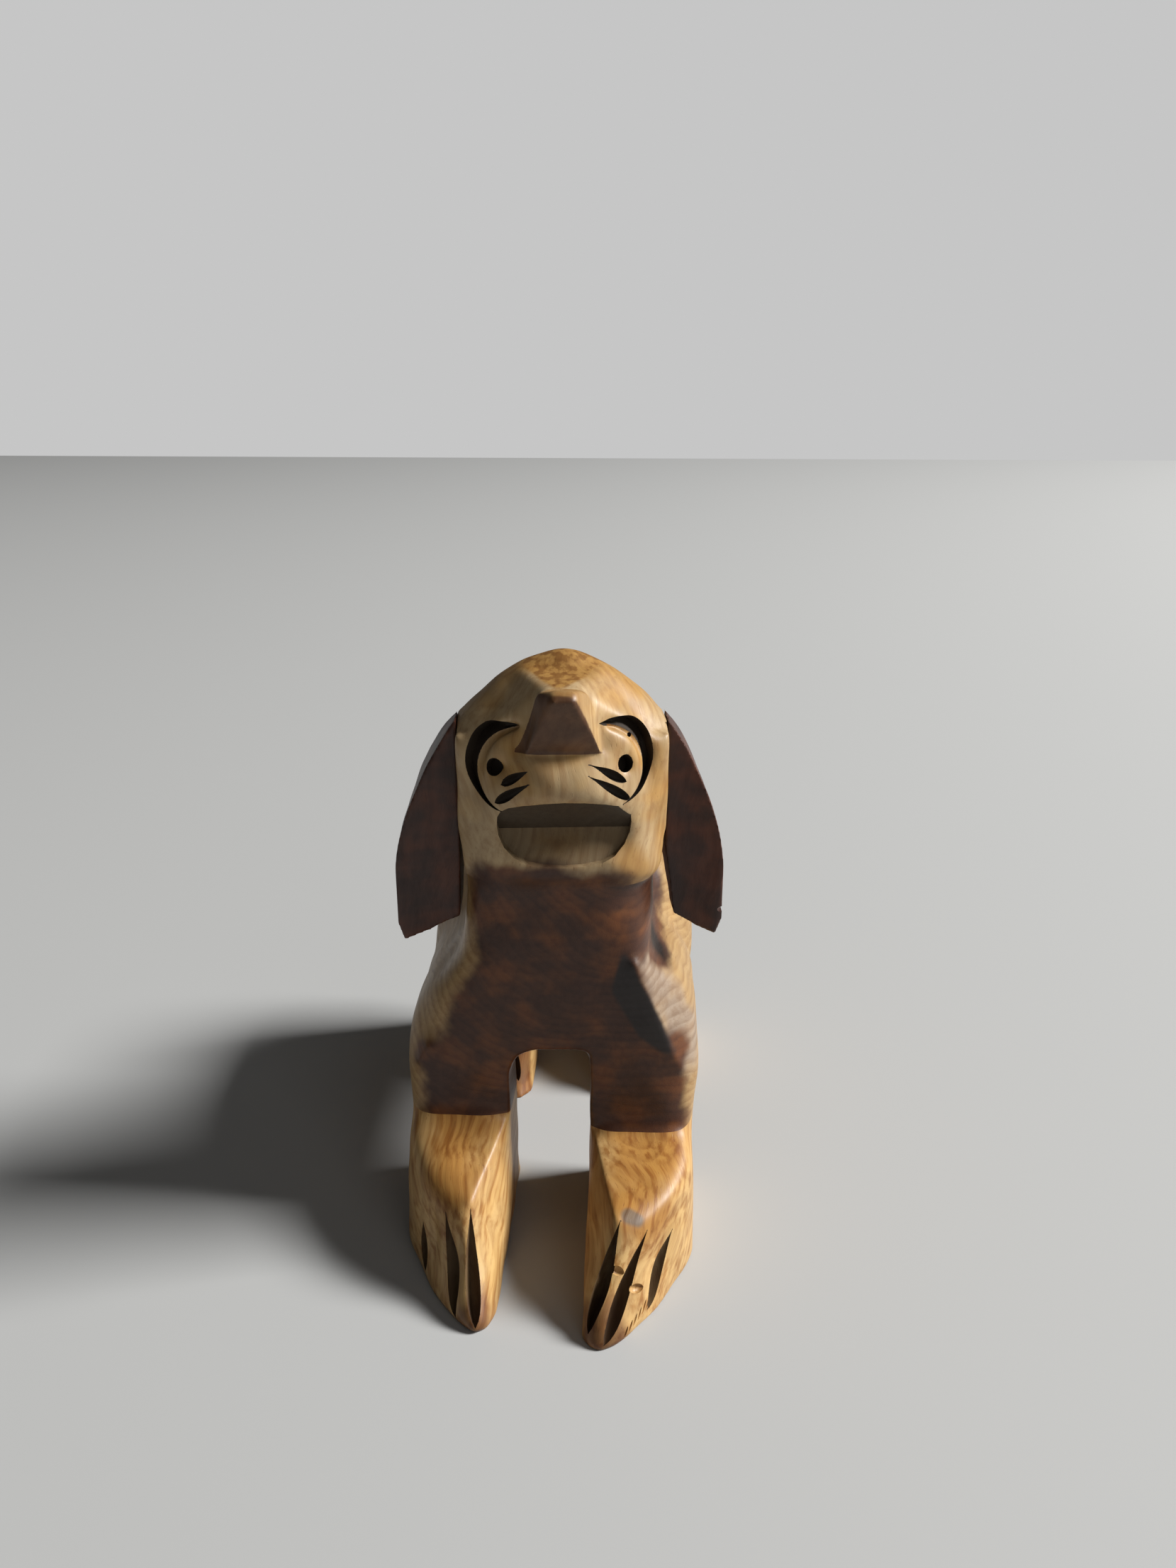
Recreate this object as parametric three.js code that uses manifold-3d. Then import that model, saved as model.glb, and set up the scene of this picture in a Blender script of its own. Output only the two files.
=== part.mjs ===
// A carved wooden dog that stands on four legs and looks up.
// Millimetres. X runs across the dog with its own left at +X, the dog looks along -Y, Z is up.
import * as THREE from "three";
import { ConvexGeometry } from "three/addons/geometries/ConvexGeometry.js";
import { LoftGeometry } from "three/addons/geometries/LoftGeometry.js";
import { mergeVertices } from "three/addons/utils/BufferGeometryUtils.js";
import Module from "manifold-3d";

const wasm = await Module();
wasm.setup();

// Overall sizes of the blank
const LENGTH = 132; // left forepaw tip to the back of the tail
const BODY_WIDTH = 66; // across the shoulders and the hips
const BACK_HEIGHT = 76; // floor to the back
const BELLY_HEIGHT = 44.5; // floor to the belly and the arch between the legs

// Fits
const GLUE_GAP = 0.3; // between every two pieces that meet
const EAR_CLEARANCE = 3; // between a hanging ear and the shoulder below it

// Neck and chest
const NECK_RISE = 8; // neck seam above the back
const NECK_INSET = 3.2; // each side of the neck inside the side of the head
const NECK_DEPTH = 38; // throat to nape
const NECK_TENON_RADIUS = 9;
const NECK_TENON_LENGTH = 10;
const RIGHT_SHOULDER_FALL = 2.6; // how much more the right shoulder slopes than the left
const CHEST_FACE_TOP = 22; // width of the flat chest at the neck seam
const CHEST_FACE_LOW = 54; // width of the flat chest at belly height
const CHEST_BEVEL = 53; // degrees, how far the shoulder bevel turns back

// Legs
const LEG_GAP = 18; // between left and right legs
const ARCH_ROUND = 6; // corner radius of the arch on the dog's right
const FORELEG_DEPTH = 18;
const HINDLEG_DEPTH = 22;
const LEG_ROUND = 7; // corner radius of the blank seen from above

// Paws
const LEFT_REACH = 40; // left forepaw tip to the front of the leg
const RIGHT_REACH = 36;
const HIND_REACH = 20;
const LEFT_WRIST = 24.5; // floor to the top of each paw
const RIGHT_WRIST = 27.5;
const HIND_WRIST = 24;
const PAW_INSET = 0.6; // outer side of a paw inside the body width
const FORE_KNUCKLE = 20; // height of the knuckles
const FORE_SETBACK = 15; // knuckles behind the toe tip
const HIND_KNUCKLE = 17;
const HIND_SETBACK = 8;
const TIP_OFFSET = 4; // toe tip outward of the inner side
const TOE_TAPER = 1.3; // 2 is a round front, 1 is a straight slant
const FORE_SWEEP = 31; // length of the slanting front seen from above
const HIND_SWEEP = 18;
const TOE_CUT_RADIUS = 1.5; // half the width of a groove between toes
const TOE_CUT_DEPTH = 3.2;
const PAW_PEG_RADIUS = 4;
const PAW_PEG_LENGTH = 9;

// Head
const HEAD_TURN = 5; // degrees, the face turned to the dog's left
const HEAD_SHIFT = 1.9; // head off the middle of the neck, to the dog's left
const HEAD_HEIGHT = 46.5; // neck seam to crown
const HEAD_WIDTH = 44; // between the two ear seats
const HEAD_DEPTH = 43; // throat to the back of the skull
const SKULL_SETBACK = 18; // crown behind the chest
const LEFT_DOME_POWER = 1.65; // 2 is an ellipse, less is more pointed
const RIGHT_DOME_POWER = 1.6;
const JAW_RISE = 10; // above the neck seam the cheeks are full width
const RIDGE_WIDTH = 2.4; // crown ridge where it meets the nose
const RIDGE_SPREAD = 20; // crown ridge at the top of the skull
const CHIN_PROUD = 3; // lower lip ahead of the chest
const LIP_PROUD = 6; // upper lip ahead of the chest
const LIP_RISE = 21.6; // upper lip above the neck seam
const FACE_SWEEP = 14; // cheek edge behind the lip
const NOSE_BASE_RISE = 29.7; // foot of the nose above the neck seam

// Nose
const NOSE_BASE_WIDTH = 14;
const NOSE_TIP_WIDTH = 6;
const NOSE_PROUD = 7.5; // nose tip ahead of the chest
const NOSE_DIP = 4.6; // top of the nose below the crown
const NOSE_PEG_RADIUS = 2.2;
const NOSE_PEG_LENGTH = 6;

// Eyes
const EYE_SPACING = 22.6; // between the centres of the two eye rings
const EYE_RISE = 26.5; // eye rings above the neck seam
const EYE_RADIUS = 9.4;
const EYE_CUT_WIDTH = 3.2; // widest part of the crescent
const EYE_CUT_DEPTH = 3;
const EYE_CUT_TURN = 22; // degrees, widest part above level
const PUPIL_RADIUS = 1.75;
const PUPIL_OFFSET = 2.2; // pupil outward of the ring centre
const PUPIL_DEPTH = 3;

// Mouth and whiskers
const MOUTH_SHIFT = 1; // mouth and whiskers off the middle of the head, to the dog's left
const MOUTH_WIDTH = 27;
const MOUTH_TOP_RISE = 21.8; // above the neck seam
const MOUTH_LOW_RISE = 5.4;
const MOUTH_DEPTH = 9; // corner of the notch behind the upper lip
const MOUTH_CORNER_RISE = 12.2;
const WHISKER_RADIUS = 1;
const WHISKER_DEPTH = 1.7;
const WHISKERS = [
  [5.6, 26.2, 12, 22.8], // inner end across and up from the neck seam, then outer end
  [6, 23.2, 12.8, 19.6],
];

// Ears
const LEFT_EAR_BREADTH = 12.8; // ear seat to the outer rim of the ear
const RIGHT_EAR_BREADTH = 14.25;
const LEFT_EAR_EDGE = 10.4; // lower edge of the ear
const RIGHT_EAR_EDGE = 13.4;
const EAR_DROP = 16.5; // ear tip below the neck seam
const EAR_SETBACK = 10; // front rim of the ear behind the chest
const EAR_DEPTH = 24; // front rim to the back of the ear
const EAR_HOLLOW = 3.5; // depth of the scooped front
const EAR_TONGUE = [5, 9, 16]; // reach into the head, depth and height

// Tail
const TAIL_PROUD = 5; // tail behind the rump
const TAIL_RADIUS = 5;
const TAIL_TOP = 66; // height of its root
const TAIL_LENGTH = 22;
const TAIL_PEG_RADIUS = 2.2;
const TAIL_PEG_LENGTH = 7;

// Stations that several pieces share
const BIG = 400;
const chestY = -LENGTH / 2 + LEFT_REACH;
const rumpY = LENGTH / 2 - TAIL_PROUD;
const foreRearY = chestY + FORELEG_DEPTH;
const hindFrontY = rumpY - HINDLEG_DEPTH;
const neckZ = BACK_HEIGHT + NECK_RISE;
const crownZ = neckZ + HEAD_HEIGHT;
const earTipZ = neckZ - EAR_DROP;
const earFrontY = chestY + EAR_SETBACK;
const earBackY = earFrontY + EAR_DEPTH;
const earInnerX = HEAD_WIDTH / 2 + GLUE_GAP;
const noseZ = neckZ + NOSE_BASE_RISE;
const noseTopZ = crownZ - NOSE_DIP;
const skullY = chestY + SKULL_SETBACK;
const noseTipY = chestY - NOSE_PROUD;
const noseSeatY = chestY + 1;
const bodyHalf = BODY_WIDTH / 2;
const headHalf = HEAD_WIDTH / 2;
const neckHalf = headHalf - NECK_INSET;
const neckMidY = chestY + NECK_DEPTH / 2;
const legX = (LEG_GAP / 2 + bodyHalf) / 2;
const LEFT = {
  side: 1,
  half: headHalf + LEFT_EAR_BREADTH,
  power: LEFT_DOME_POWER,
  edge: LEFT_EAR_EDGE,
};
const RIGHT = {
  side: -1,
  half: headHalf + RIGHT_EAR_BREADTH,
  power: RIGHT_DOME_POWER,
  edge: RIGHT_EAR_EDGE,
};

// Turns a closed geometry into a solid for joining and cutting.
function solid(geometry) {
  const bare = new THREE.BufferGeometry();
  bare.setAttribute("position", geometry.getAttribute("position"));
  if (geometry.index) bare.setIndex(geometry.index);
  const merged = mergeVertices(bare, 1e-4);
  const index = merged.index.array;
  const triangles = [];
  for (let i = 0; i < index.length; i += 3) {
    const [a, b, c] = [index[i], index[i + 1], index[i + 2]];
    if (a !== b && b !== c && c !== a) triangles.push(a, b, c);
  }
  return new wasm.Manifold(
    new wasm.Mesh({
      numProp: 3,
      vertProperties: new Float32Array(merged.getAttribute("position").array),
      triVerts: new Uint32Array(triangles),
    }),
  );
}

// Gives a solid its name and finish as a mesh.
function piece(name, shape, color, roughness) {
  const mesh = shape.getMesh();
  const geometry = new THREE.BufferGeometry();
  geometry.setAttribute("position", new THREE.BufferAttribute(new Float32Array(mesh.vertProperties), 3));
  geometry.setIndex(new THREE.BufferAttribute(new Uint32Array(mesh.triVerts), 1));
  const flat = geometry.toNonIndexed();
  flat.computeVertexNormals();
  const made = new THREE.Mesh(flat, new THREE.MeshStandardMaterial({ color, roughness, metalness: 0 }));
  made.name = name;
  return made;
}

// A smooth run of points through a few given ones.
function smooth(points, steps) {
  const curve = new THREE.SplineCurve(points.map(([a, b]) => new THREE.Vector2(a, b)));
  return curve.getPoints(steps).map((p) => [p.x, p.y]);
}

// A left and right outline from its right half.
function mirrored(half) {
  const other = half.filter(([x]) => x > 1e-6).map(([x, z]) => [-x, z]);
  return half.concat(other.reverse());
}

function extruded(points, depth) {
  const shape = new THREE.Shape(points.map(([a, b]) => new THREE.Vector2(a, b)));
  return new THREE.ExtrudeGeometry(shape, { depth, bevelEnabled: false, steps: 1 });
}

// Outlines in [y, z], [x, z] and [x, y], each carried along the third axis.
function alongX(points, from, to) {
  const turn = new THREE.Matrix4().makeBasis(
    new THREE.Vector3(0, 1, 0),
    new THREE.Vector3(0, 0, 1),
    new THREE.Vector3(1, 0, 0),
  );
  return solid(extruded(points, to - from).applyMatrix4(turn).translate(from, 0, 0));
}

function alongY(points, from, to) {
  const turn = new THREE.Matrix4().makeBasis(
    new THREE.Vector3(1, 0, 0),
    new THREE.Vector3(0, 0, 1),
    new THREE.Vector3(0, -1, 0),
  );
  return solid(extruded(points, to - from).applyMatrix4(turn).translate(0, to, 0));
}

function alongZ(points, from, to) {
  return solid(extruded(points, to - from).translate(0, 0, from));
}

function block(x0, x1, y0, y1, z0, z1) {
  const box = new THREE.BoxGeometry(x1 - x0, y1 - y0, z1 - z0);
  return solid(box.translate((x0 + x1) / 2, (y0 + y1) / 2, (z0 + z1) / 2));
}

function peg(radius, from, to) {
  const axis = new THREE.Vector3().subVectors(to, from);
  const turn = new THREE.Quaternion().setFromUnitVectors(
    new THREE.Vector3(0, 1, 0),
    axis.clone().normalize(),
  );
  const rod = new THREE.CylinderGeometry(radius, radius, axis.length(), 24);
  const middle = new THREE.Vector3().addVectors(from, to).multiplyScalar(0.5);
  return solid(rod.applyQuaternion(turn).translate(middle.x, middle.y, middle.z));
}

// Everything on the far side of a plane, for one flat knife cut.
function beyond(point, normal) {
  const slab = new THREE.BoxGeometry(BIG, BIG, BIG).translate(0, 0, BIG / 2);
  const turn = new THREE.Quaternion().setFromUnitVectors(
    new THREE.Vector3(0, 0, 1),
    normal.clone().normalize(),
  );
  return solid(slab.applyQuaternion(turn).translate(point.x, point.y, point.z));
}

// A pointed gouge cut between two surface points, deepest half way.
function gougeCut(from, to, normal, radius, depth) {
  const axis = new THREE.Vector3().subVectors(to, from);
  const length = axis.length();
  const profile = [];
  for (let i = 0; i <= 10; i++) {
    const t = i / 10;
    const r = i === 0 || i === 10 ? 0 : radius * Math.pow(4 * t * (1 - t), 0.75);
    profile.push(new THREE.Vector2(r, (t - 0.5) * length));
  }
  const along = axis.normalize();
  const side = new THREE.Vector3().crossVectors(along, normal).normalize();
  const out = new THREE.Vector3().crossVectors(side, along);
  const place = new THREE.Matrix4().makeBasis(side, along, out.multiplyScalar(depth / radius));
  const middle = new THREE.Vector3().addVectors(from, to).multiplyScalar(0.5);
  place.setPosition(middle);
  return solid(new THREE.LatheGeometry(profile, 10).applyMatrix4(place));
}

// Trunk, chest, neck and upper legs, sawn to a side outline and front outlines, then bevelled.
function makeBody() {
  const low = 15;
  const side = [
    [chestY, low],
    [chestY, BELLY_HEIGHT],
    [chestY + 0.4, BACK_HEIGHT - 4],
    [chestY + 4, BACK_HEIGHT],
    ...smooth(
      [
        [neckMidY + NECK_DEPTH / 2 + 17, BACK_HEIGHT],
        [rumpY - 20, BACK_HEIGHT - 0.8],
        [rumpY - 7, BACK_HEIGHT - 5],
        [rumpY - 1.2, BACK_HEIGHT - 13],
        [rumpY, BACK_HEIGHT - 24],
      ],
      18,
    ),
    [rumpY, low],
    [hindFrontY, low],
    ...smooth(
      [
        [hindFrontY, BELLY_HEIGHT - 11],
        [hindFrontY - 3, BELLY_HEIGHT - 3.2],
        [hindFrontY - 11, BELLY_HEIGHT],
      ],
      8,
    ),
    ...smooth(
      [
        [foreRearY + 9, BELLY_HEIGHT],
        [foreRearY + 2.6, BELLY_HEIGHT - 2.8],
        [foreRearY, BELLY_HEIGHT - 9],
      ],
      8,
    ),
    [foreRearY, low],
  ];
  const legSide = [
    [0, low],
    [bodyHalf - 1, low],
    [bodyHalf, BELLY_HEIGHT - 9],
  ];
  const shoulderZ = earTipZ - EAR_CLEARANCE;
  const shoulder = (fall) => [
    ...legSide,
    ...smooth(
      [
        [bodyHalf, BELLY_HEIGHT],
        [bodyHalf - 2 - fall * 0.8, BELLY_HEIGHT + 9],
        [(bodyHalf + neckHalf) / 2 + 0.5 - fall, shoulderZ - 5],
        [neckHalf + 1, shoulderZ],
      ],
      12,
    ),
    [neckHalf + 0.6, shoulderZ + 2],
    [0, shoulderZ + 2],
  ];
  const rightShoulder = shoulder(RIGHT_SHOULDER_FALL).map(([x, z]) => [-x, z]);
  const front = shoulder(0).concat(rightShoulder.slice(1, -1).reverse());
  const trunk = mirrored([
    ...legSide,
    ...smooth(
      [
        [bodyHalf, BELLY_HEIGHT],
        [bodyHalf - 1.5, BELLY_HEIGHT + 13],
        [bodyHalf - 7.5, BACK_HEIGHT - 9],
        [bodyHalf - 19, BACK_HEIGHT - 0.8],
        [0, BACK_HEIGHT + 1],
      ],
      18,
    ),
  ]);
  const trunkY = earBackY + EAR_CLEARANCE;
  const r = LEG_ROUND;
  const corner = (y, sign) => [
    [bodyHalf, y - sign * r],
    [bodyHalf - r * 0.1, y - sign * r * 0.55],
    [bodyHalf - r * 0.29, y - sign * r * 0.29],
    [bodyHalf - r * 0.55, y - sign * r * 0.1],
    [bodyHalf - r, y],
  ];
  const plan = mirrored([[0, chestY], ...corner(chestY, -1).reverse(), ...corner(rumpY, 1), [0, rumpY]]);
  let body = alongY(front, chestY - 1, trunkY + 1).add(alongY(trunk, trunkY, rumpY + 1));
  body = body.intersect(alongX(side, -bodyHalf, bodyHalf));
  body = body.intersect(alongZ(plan, 0, neckZ + 1));
  for (const s of [-1, 1]) {
    const blade = beyond(
      new THREE.Vector3(s * neckHalf, trunkY, earTipZ + 4),
      new THREE.Vector3(s * 0.84, -0.32, 0.43),
    );
    const slope = beyond(
      new THREE.Vector3(s * neckHalf, trunkY, shoulderZ + 2),
      new THREE.Vector3(s * 0.5, -0.45, 0.74),
    );
    const haunch = beyond(
      new THREE.Vector3(s * (bodyHalf - 3), rumpY - 3, BACK_HEIGHT - 22),
      new THREE.Vector3(s * 0.62, 0.62, 0.48),
    );
    const behind = block(-BIG, BIG, trunkY - 0.01, BIG, 0, BIG);
    body = body.subtract(blade.add(slope).intersect(behind)).subtract(haunch);
  }
  body = body.add(makeNeck(shoulderZ));
  const arch = [
    [-LEG_GAP / 2, 0],
    [LEG_GAP / 2, 0],
    [LEG_GAP / 2, BELLY_HEIGHT - 1],
    [LEG_GAP / 2 - 1, BELLY_HEIGHT],
    ...smooth(
      [
        [ARCH_ROUND - LEG_GAP / 2, BELLY_HEIGHT],
        [ARCH_ROUND * 0.29 - LEG_GAP / 2, BELLY_HEIGHT - ARCH_ROUND * 0.29],
        [-LEG_GAP / 2, BELLY_HEIGHT - ARCH_ROUND],
      ],
      6,
    ),
  ];
  body = body.subtract(alongY(arch, chestY - 2, rumpY + 2));
  const turn = (CHEST_BEVEL * Math.PI) / 180;
  for (const s of [-1, 1]) {
    const edge = new THREE.Vector3((s * (CHEST_FACE_LOW - CHEST_FACE_TOP)) / 2, 0, BELLY_HEIGHT - neckZ);
    const back = new THREE.Vector3(s * Math.cos(turn), Math.sin(turn), 0);
    const normal = new THREE.Vector3().crossVectors(edge, back).multiplyScalar(s);
    const foot = new THREE.Vector3((s * CHEST_FACE_LOW) / 2, chestY, BELLY_HEIGHT);
    body = body.subtract(beyond(foot, normal));
  }
  for (const leg of LEGS) {
    const inside = leg.side > 0 ? [0, bodyHalf + 1] : [-bodyHalf - 1, 0];
    const top = leg.wrist + GLUE_GAP;
    body = body.subtract(block(...inside, leg.frontY - 1, leg.rearY + 1, 0, top));
    const start = new THREE.Vector3(leg.side * legX, (leg.frontY + leg.rearY) / 2, top - 1);
    const end = start.clone().setZ(top + PAW_PEG_LENGTH);
    body = body.subtract(peg(PAW_PEG_RADIUS + GLUE_GAP, start, end));
  }
  const tenonFoot = new THREE.Vector3(0, neckMidY, neckZ - 1);
  body = body.add(peg(NECK_TENON_RADIUS, tenonFoot, tenonFoot.clone().setZ(neckZ + NECK_TENON_LENGTH)));
  const tailHole = new THREE.Vector3(0, rumpY + 1, TAIL_TOP - 8);
  const tailEnd = tailHole.clone().setY(rumpY - TAIL_PEG_LENGTH - GLUE_GAP);
  body = body.subtract(peg(TAIL_PEG_RADIUS + GLUE_GAP, tailHole, tailEnd));
  return { body, side };
}

// An oval neck, nearly square where it leaves the shoulders and rounder under the head.
function makeNeck(shoulderZ) {
  const sections = [];
  const steps = 6;
  for (let i = 0; i <= steps; i++) {
    const t = i / steps;
    const z = THREE.MathUtils.lerp(shoulderZ - 6, neckZ, t);
    const power = THREE.MathUtils.lerp(8, 2.8, Math.sqrt(t));
    const half = neckHalf + 3 * Math.pow(1 - t, 3);
    const nape = NECK_DEPTH / 2 + 11 * Math.pow(1 - t, 0.8);
    const ring = [];
    for (let k = 0; k < 48; k++) {
      const a = (2 * Math.PI * k) / 48;
      const c = Math.cos(a);
      const n = Math.sin(a);
      const x = half * Math.sign(c) * Math.pow(Math.abs(c), 2 / power);
      const y = (n > 0 ? nape : NECK_DEPTH / 2) * Math.sign(n) * Math.pow(Math.abs(n), 2 / power);
      ring.push(new THREE.Vector3(x, neckMidY + y, z));
    }
    sections.push(ring);
  }
  return solid(new LoftGeometry(sections, { capStart: true, capEnd: true }));
}

// The dome that the head and an ear share, seen from the front.
function domeRun({ half, power }, inner, outer, steps) {
  const angle = (x) => Math.acos(Math.pow(x / half, power / 2));
  const points = [];
  for (let i = 0; i <= steps; i++) {
    const t = THREE.MathUtils.lerp(angle(outer), angle(inner), i / steps);
    const x = half * Math.pow(Math.cos(t), 2 / power);
    points.push([x, neckZ + HEAD_HEIGHT * Math.pow(Math.sin(t), 2 / power)]);
  }
  return points;
}

// The rounded skull, with a crown ridge that narrows to the nose between two brow planes, and the muzzle.
function makeSkull() {
  const half = Math.max(LEFT.half, RIGHT.half);
  const power = Math.max(LEFT.power, RIGHT.power);
  const profile = [new THREE.Vector2(0, 0), new THREE.Vector2(half, 0)];
  for (const [x, z] of domeRun({ half, power }, 0, half - 0.001, 22)) {
    profile.push(new THREE.Vector2(x, z - neckZ));
  }
  profile[profile.length - 1].x = 0;
  const round = new THREE.LatheGeometry(profile, 48).rotateX(Math.PI / 2);
  round.scale(1, (HEAD_DEPTH - SKULL_SETBACK) / half, 1).translate(0, skullY, neckZ);
  const points = [];
  for (const s of [-1, 1]) {
    points.push(new THREE.Vector3((s * RIDGE_WIDTH) / 2, chestY - 3, noseTopZ + 0.4));
    points.push(new THREE.Vector3(s * 15, chestY - 3, noseZ));
    points.push(new THREE.Vector3((s * RIDGE_SPREAD) / 2, skullY, crownZ - 2.6));
    points.push(new THREE.Vector3(s * 20, skullY, noseZ + 3));
  }
  const bridge = solid(new ConvexGeometry(points));
  const muzzle = block(-headHalf, headHalf, chestY - LIP_PROUD - 5, skullY, neckZ - 1, noseZ + 1);
  return solid(round).add(bridge).add(muzzle);
}

// Skull and muzzle from three outlines, with brow and eye facets and the knife cuts of the face.
function makeHead() {
  const base = neckZ + GLUE_GAP;
  const side = [
    [chestY + 1, base],
    [chestY - CHIN_PROUD + 1, neckZ + 2.4],
    [chestY - CHIN_PROUD, neckZ + MOUTH_LOW_RISE],
    ...smooth(
      [
        [chestY - LIP_PROUD + 0.6, neckZ + LIP_RISE - 7],
        [chestY - LIP_PROUD, neckZ + LIP_RISE],
        [chestY - LIP_PROUD + 2.2, neckZ + LIP_RISE + 5],
        [chestY, noseZ],
      ],
      10,
    ),
    [chestY - 1.5, noseZ + 8],
    ...smooth(
      [
        [chestY - 0.5, noseTopZ],
        [chestY + 8, crownZ - 1],
        [chestY + 18, crownZ],
        [chestY + HEAD_DEPTH + 1, crownZ - 1],
      ],
      14,
    ),
    [chestY + HEAD_DEPTH + 1, neckZ + 14],
    [chestY + NECK_DEPTH, base],
  ];
  const cheek = (ear) => [
    [neckHalf - ear.side * HEAD_SHIFT, neckZ - 1],
    [headHalf, neckZ + JAW_RISE],
    ...domeRun(ear, 0, headHalf, 14),
  ];
  const rightCheek = cheek(RIGHT).map(([x, z]) => [-x, z]);
  const front = cheek(LEFT).concat(rightCheek.slice(0, -1).reverse());
  const lipY = chestY - LIP_PROUD - 0.2;
  const face = [];
  for (let i = 0; i <= 14; i++) {
    const share = i / 14;
    face.push([share * headHalf, lipY + FACE_SWEEP * share * share]);
  }
  const behind = [];
  for (let i = 0; i <= 12; i++) {
    const a = (Math.PI / 2) * (i / 12);
    const depth = HEAD_DEPTH - SKULL_SETBACK - 3;
    behind.push([headHalf * Math.pow(Math.cos(a), 0.85), skullY + 3 + depth * Math.pow(Math.sin(a), 0.85)]);
  }
  behind[12][0] = 0;
  const plan = mirrored([...face, ...behind]);
  let head = alongX(side, -headHalf, headHalf).intersect(alongY(front, lipY - 1, chestY + HEAD_DEPTH + 2));
  head = head.intersect(alongZ(plan, neckZ - 1, crownZ + 1));
  head = head.intersect(makeSkull());

  // Each eye facet is turned outward and up, and its ring and pupil are cut square to it.
  for (const s of [-1, 1]) {
    const normal = new THREE.Vector3(s * 0.5, -0.8, 0.33).normalize();
    const eyeX = (s * EYE_SPACING) / 2;
    const centre = new THREE.Vector3(eyeX, chestY - 0.2, neckZ + EYE_RISE);
    head = head.subtract(beyond(centre, normal));
    const across = new THREE.Vector3(0, 0, 1).cross(normal).negate().multiplyScalar(-s).normalize();
    const up = new THREE.Vector3().crossVectors(normal, across).normalize();
    if (up.z < 0) up.negate();
    const outward = across.clone().multiplyScalar(Math.sign(across.x) * s);
    head = head.subtract(eyeCrescent(centre, outward, up, normal));
    const pupil = centre.clone().addScaledVector(outward, PUPIL_OFFSET);
    head = head.subtract(
      peg(
        PUPIL_RADIUS,
        pupil.clone().addScaledVector(normal, 4),
        pupil.clone().addScaledVector(normal, -PUPIL_DEPTH),
      ),
    );
  }

  // The mouth is a notch with a level corner line, seen as a rounded D from the front.
  const cornerY = chestY - LIP_PROUD + MOUTH_DEPTH;
  const cornerZ = neckZ + MOUTH_CORNER_RISE;
  const topZ = neckZ + MOUTH_TOP_RISE;
  const lowZ = neckZ + MOUTH_LOW_RISE;
  const lipTopY = chestY - LIP_PROUD;
  const lipLowY = chestY - CHIN_PROUD;
  const reach = 20;
  const upSlope = (topZ - cornerZ) / (cornerY - lipTopY);
  const lowSlope = (cornerZ - lowZ) / (cornerY - lipLowY);
  const notch = [
    [cornerY, cornerZ],
    [cornerY - reach, cornerZ + upSlope * reach],
    [cornerY - reach, cornerZ - lowSlope * reach],
  ];
  const mouthHalf = MOUTH_WIDTH / 2;
  const outline = mirrored([
    ...smooth(
      [
        [0, lowZ],
        [mouthHalf * 0.5, lowZ + 0.8],
        [mouthHalf * 0.86, lowZ + 3.6],
        [mouthHalf, lowZ + 7.8],
      ],
      9,
    ),
    ...smooth(
      [
        [mouthHalf, topZ - 3],
        [mouthHalf * 0.93, topZ - 0.8],
        [mouthHalf * 0.6, topZ - 0.1],
        [0, topZ + 0.2],
      ],
      8,
    ),
  ]);
  const wedge = alongX(notch, -headHalf, headHalf);
  const shifted = outline.map(([x, z]) => [x + MOUTH_SHIFT, z]);
  head = head.subtract(wedge.intersect(alongY(shifted, lipTopY - reach, cornerY + 1)));

  // A flat seat and a socket for the nose.
  head = head.subtract(block(-headHalf, headHalf, noseTipY - 5, noseSeatY, noseZ - GLUE_GAP, crownZ + 5));
  const noseMid = new THREE.Vector3(0, noseSeatY - 1, (noseZ + noseTopZ) / 2);
  const noseEnd = noseMid.clone().setY(noseSeatY + NOSE_PEG_LENGTH);
  head = head.subtract(peg(NOSE_PEG_RADIUS + GLUE_GAP, noseMid, noseEnd));

  // Sockets for the neck tenon and for the tongue of each ear.
  const socketFoot = new THREE.Vector3(-HEAD_SHIFT, neckMidY, neckZ - 1);
  const socketTop = socketFoot.clone().setZ(neckZ + NECK_TENON_LENGTH + GLUE_GAP);
  head = head.subtract(peg(NECK_TENON_RADIUS + GLUE_GAP, socketFoot, socketTop));
  for (const s of [-1, 1]) head = head.subtract(earTongue(s, GLUE_GAP));

  // Two slanting whisker cuts on each cheek, between the nose and the corner of the mouth.
  const skin = piece("skin", head, 0xffffff, 1);
  const ray = new THREE.Raycaster();
  const onFace = (x, rise) => {
    ray.set(new THREE.Vector3(x, chestY - 60, neckZ + rise), new THREE.Vector3(0, 1, 0));
    return ray.intersectObject(skin)[0].point;
  };
  for (const s of [-1, 1]) {
    const facing = new THREE.Vector3(s * 0.3, -0.85, 0.4);
    for (const [inX, inRise, outX, outRise] of WHISKERS) {
      const from = onFace(s * inX + MOUTH_SHIFT, inRise);
      const to = onFace(s * outX + MOUTH_SHIFT, outRise);
      head = head.subtract(gougeCut(from, to, facing, WHISKER_RADIUS, WHISKER_DEPTH));
    }
  }
  return head;
}

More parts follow.
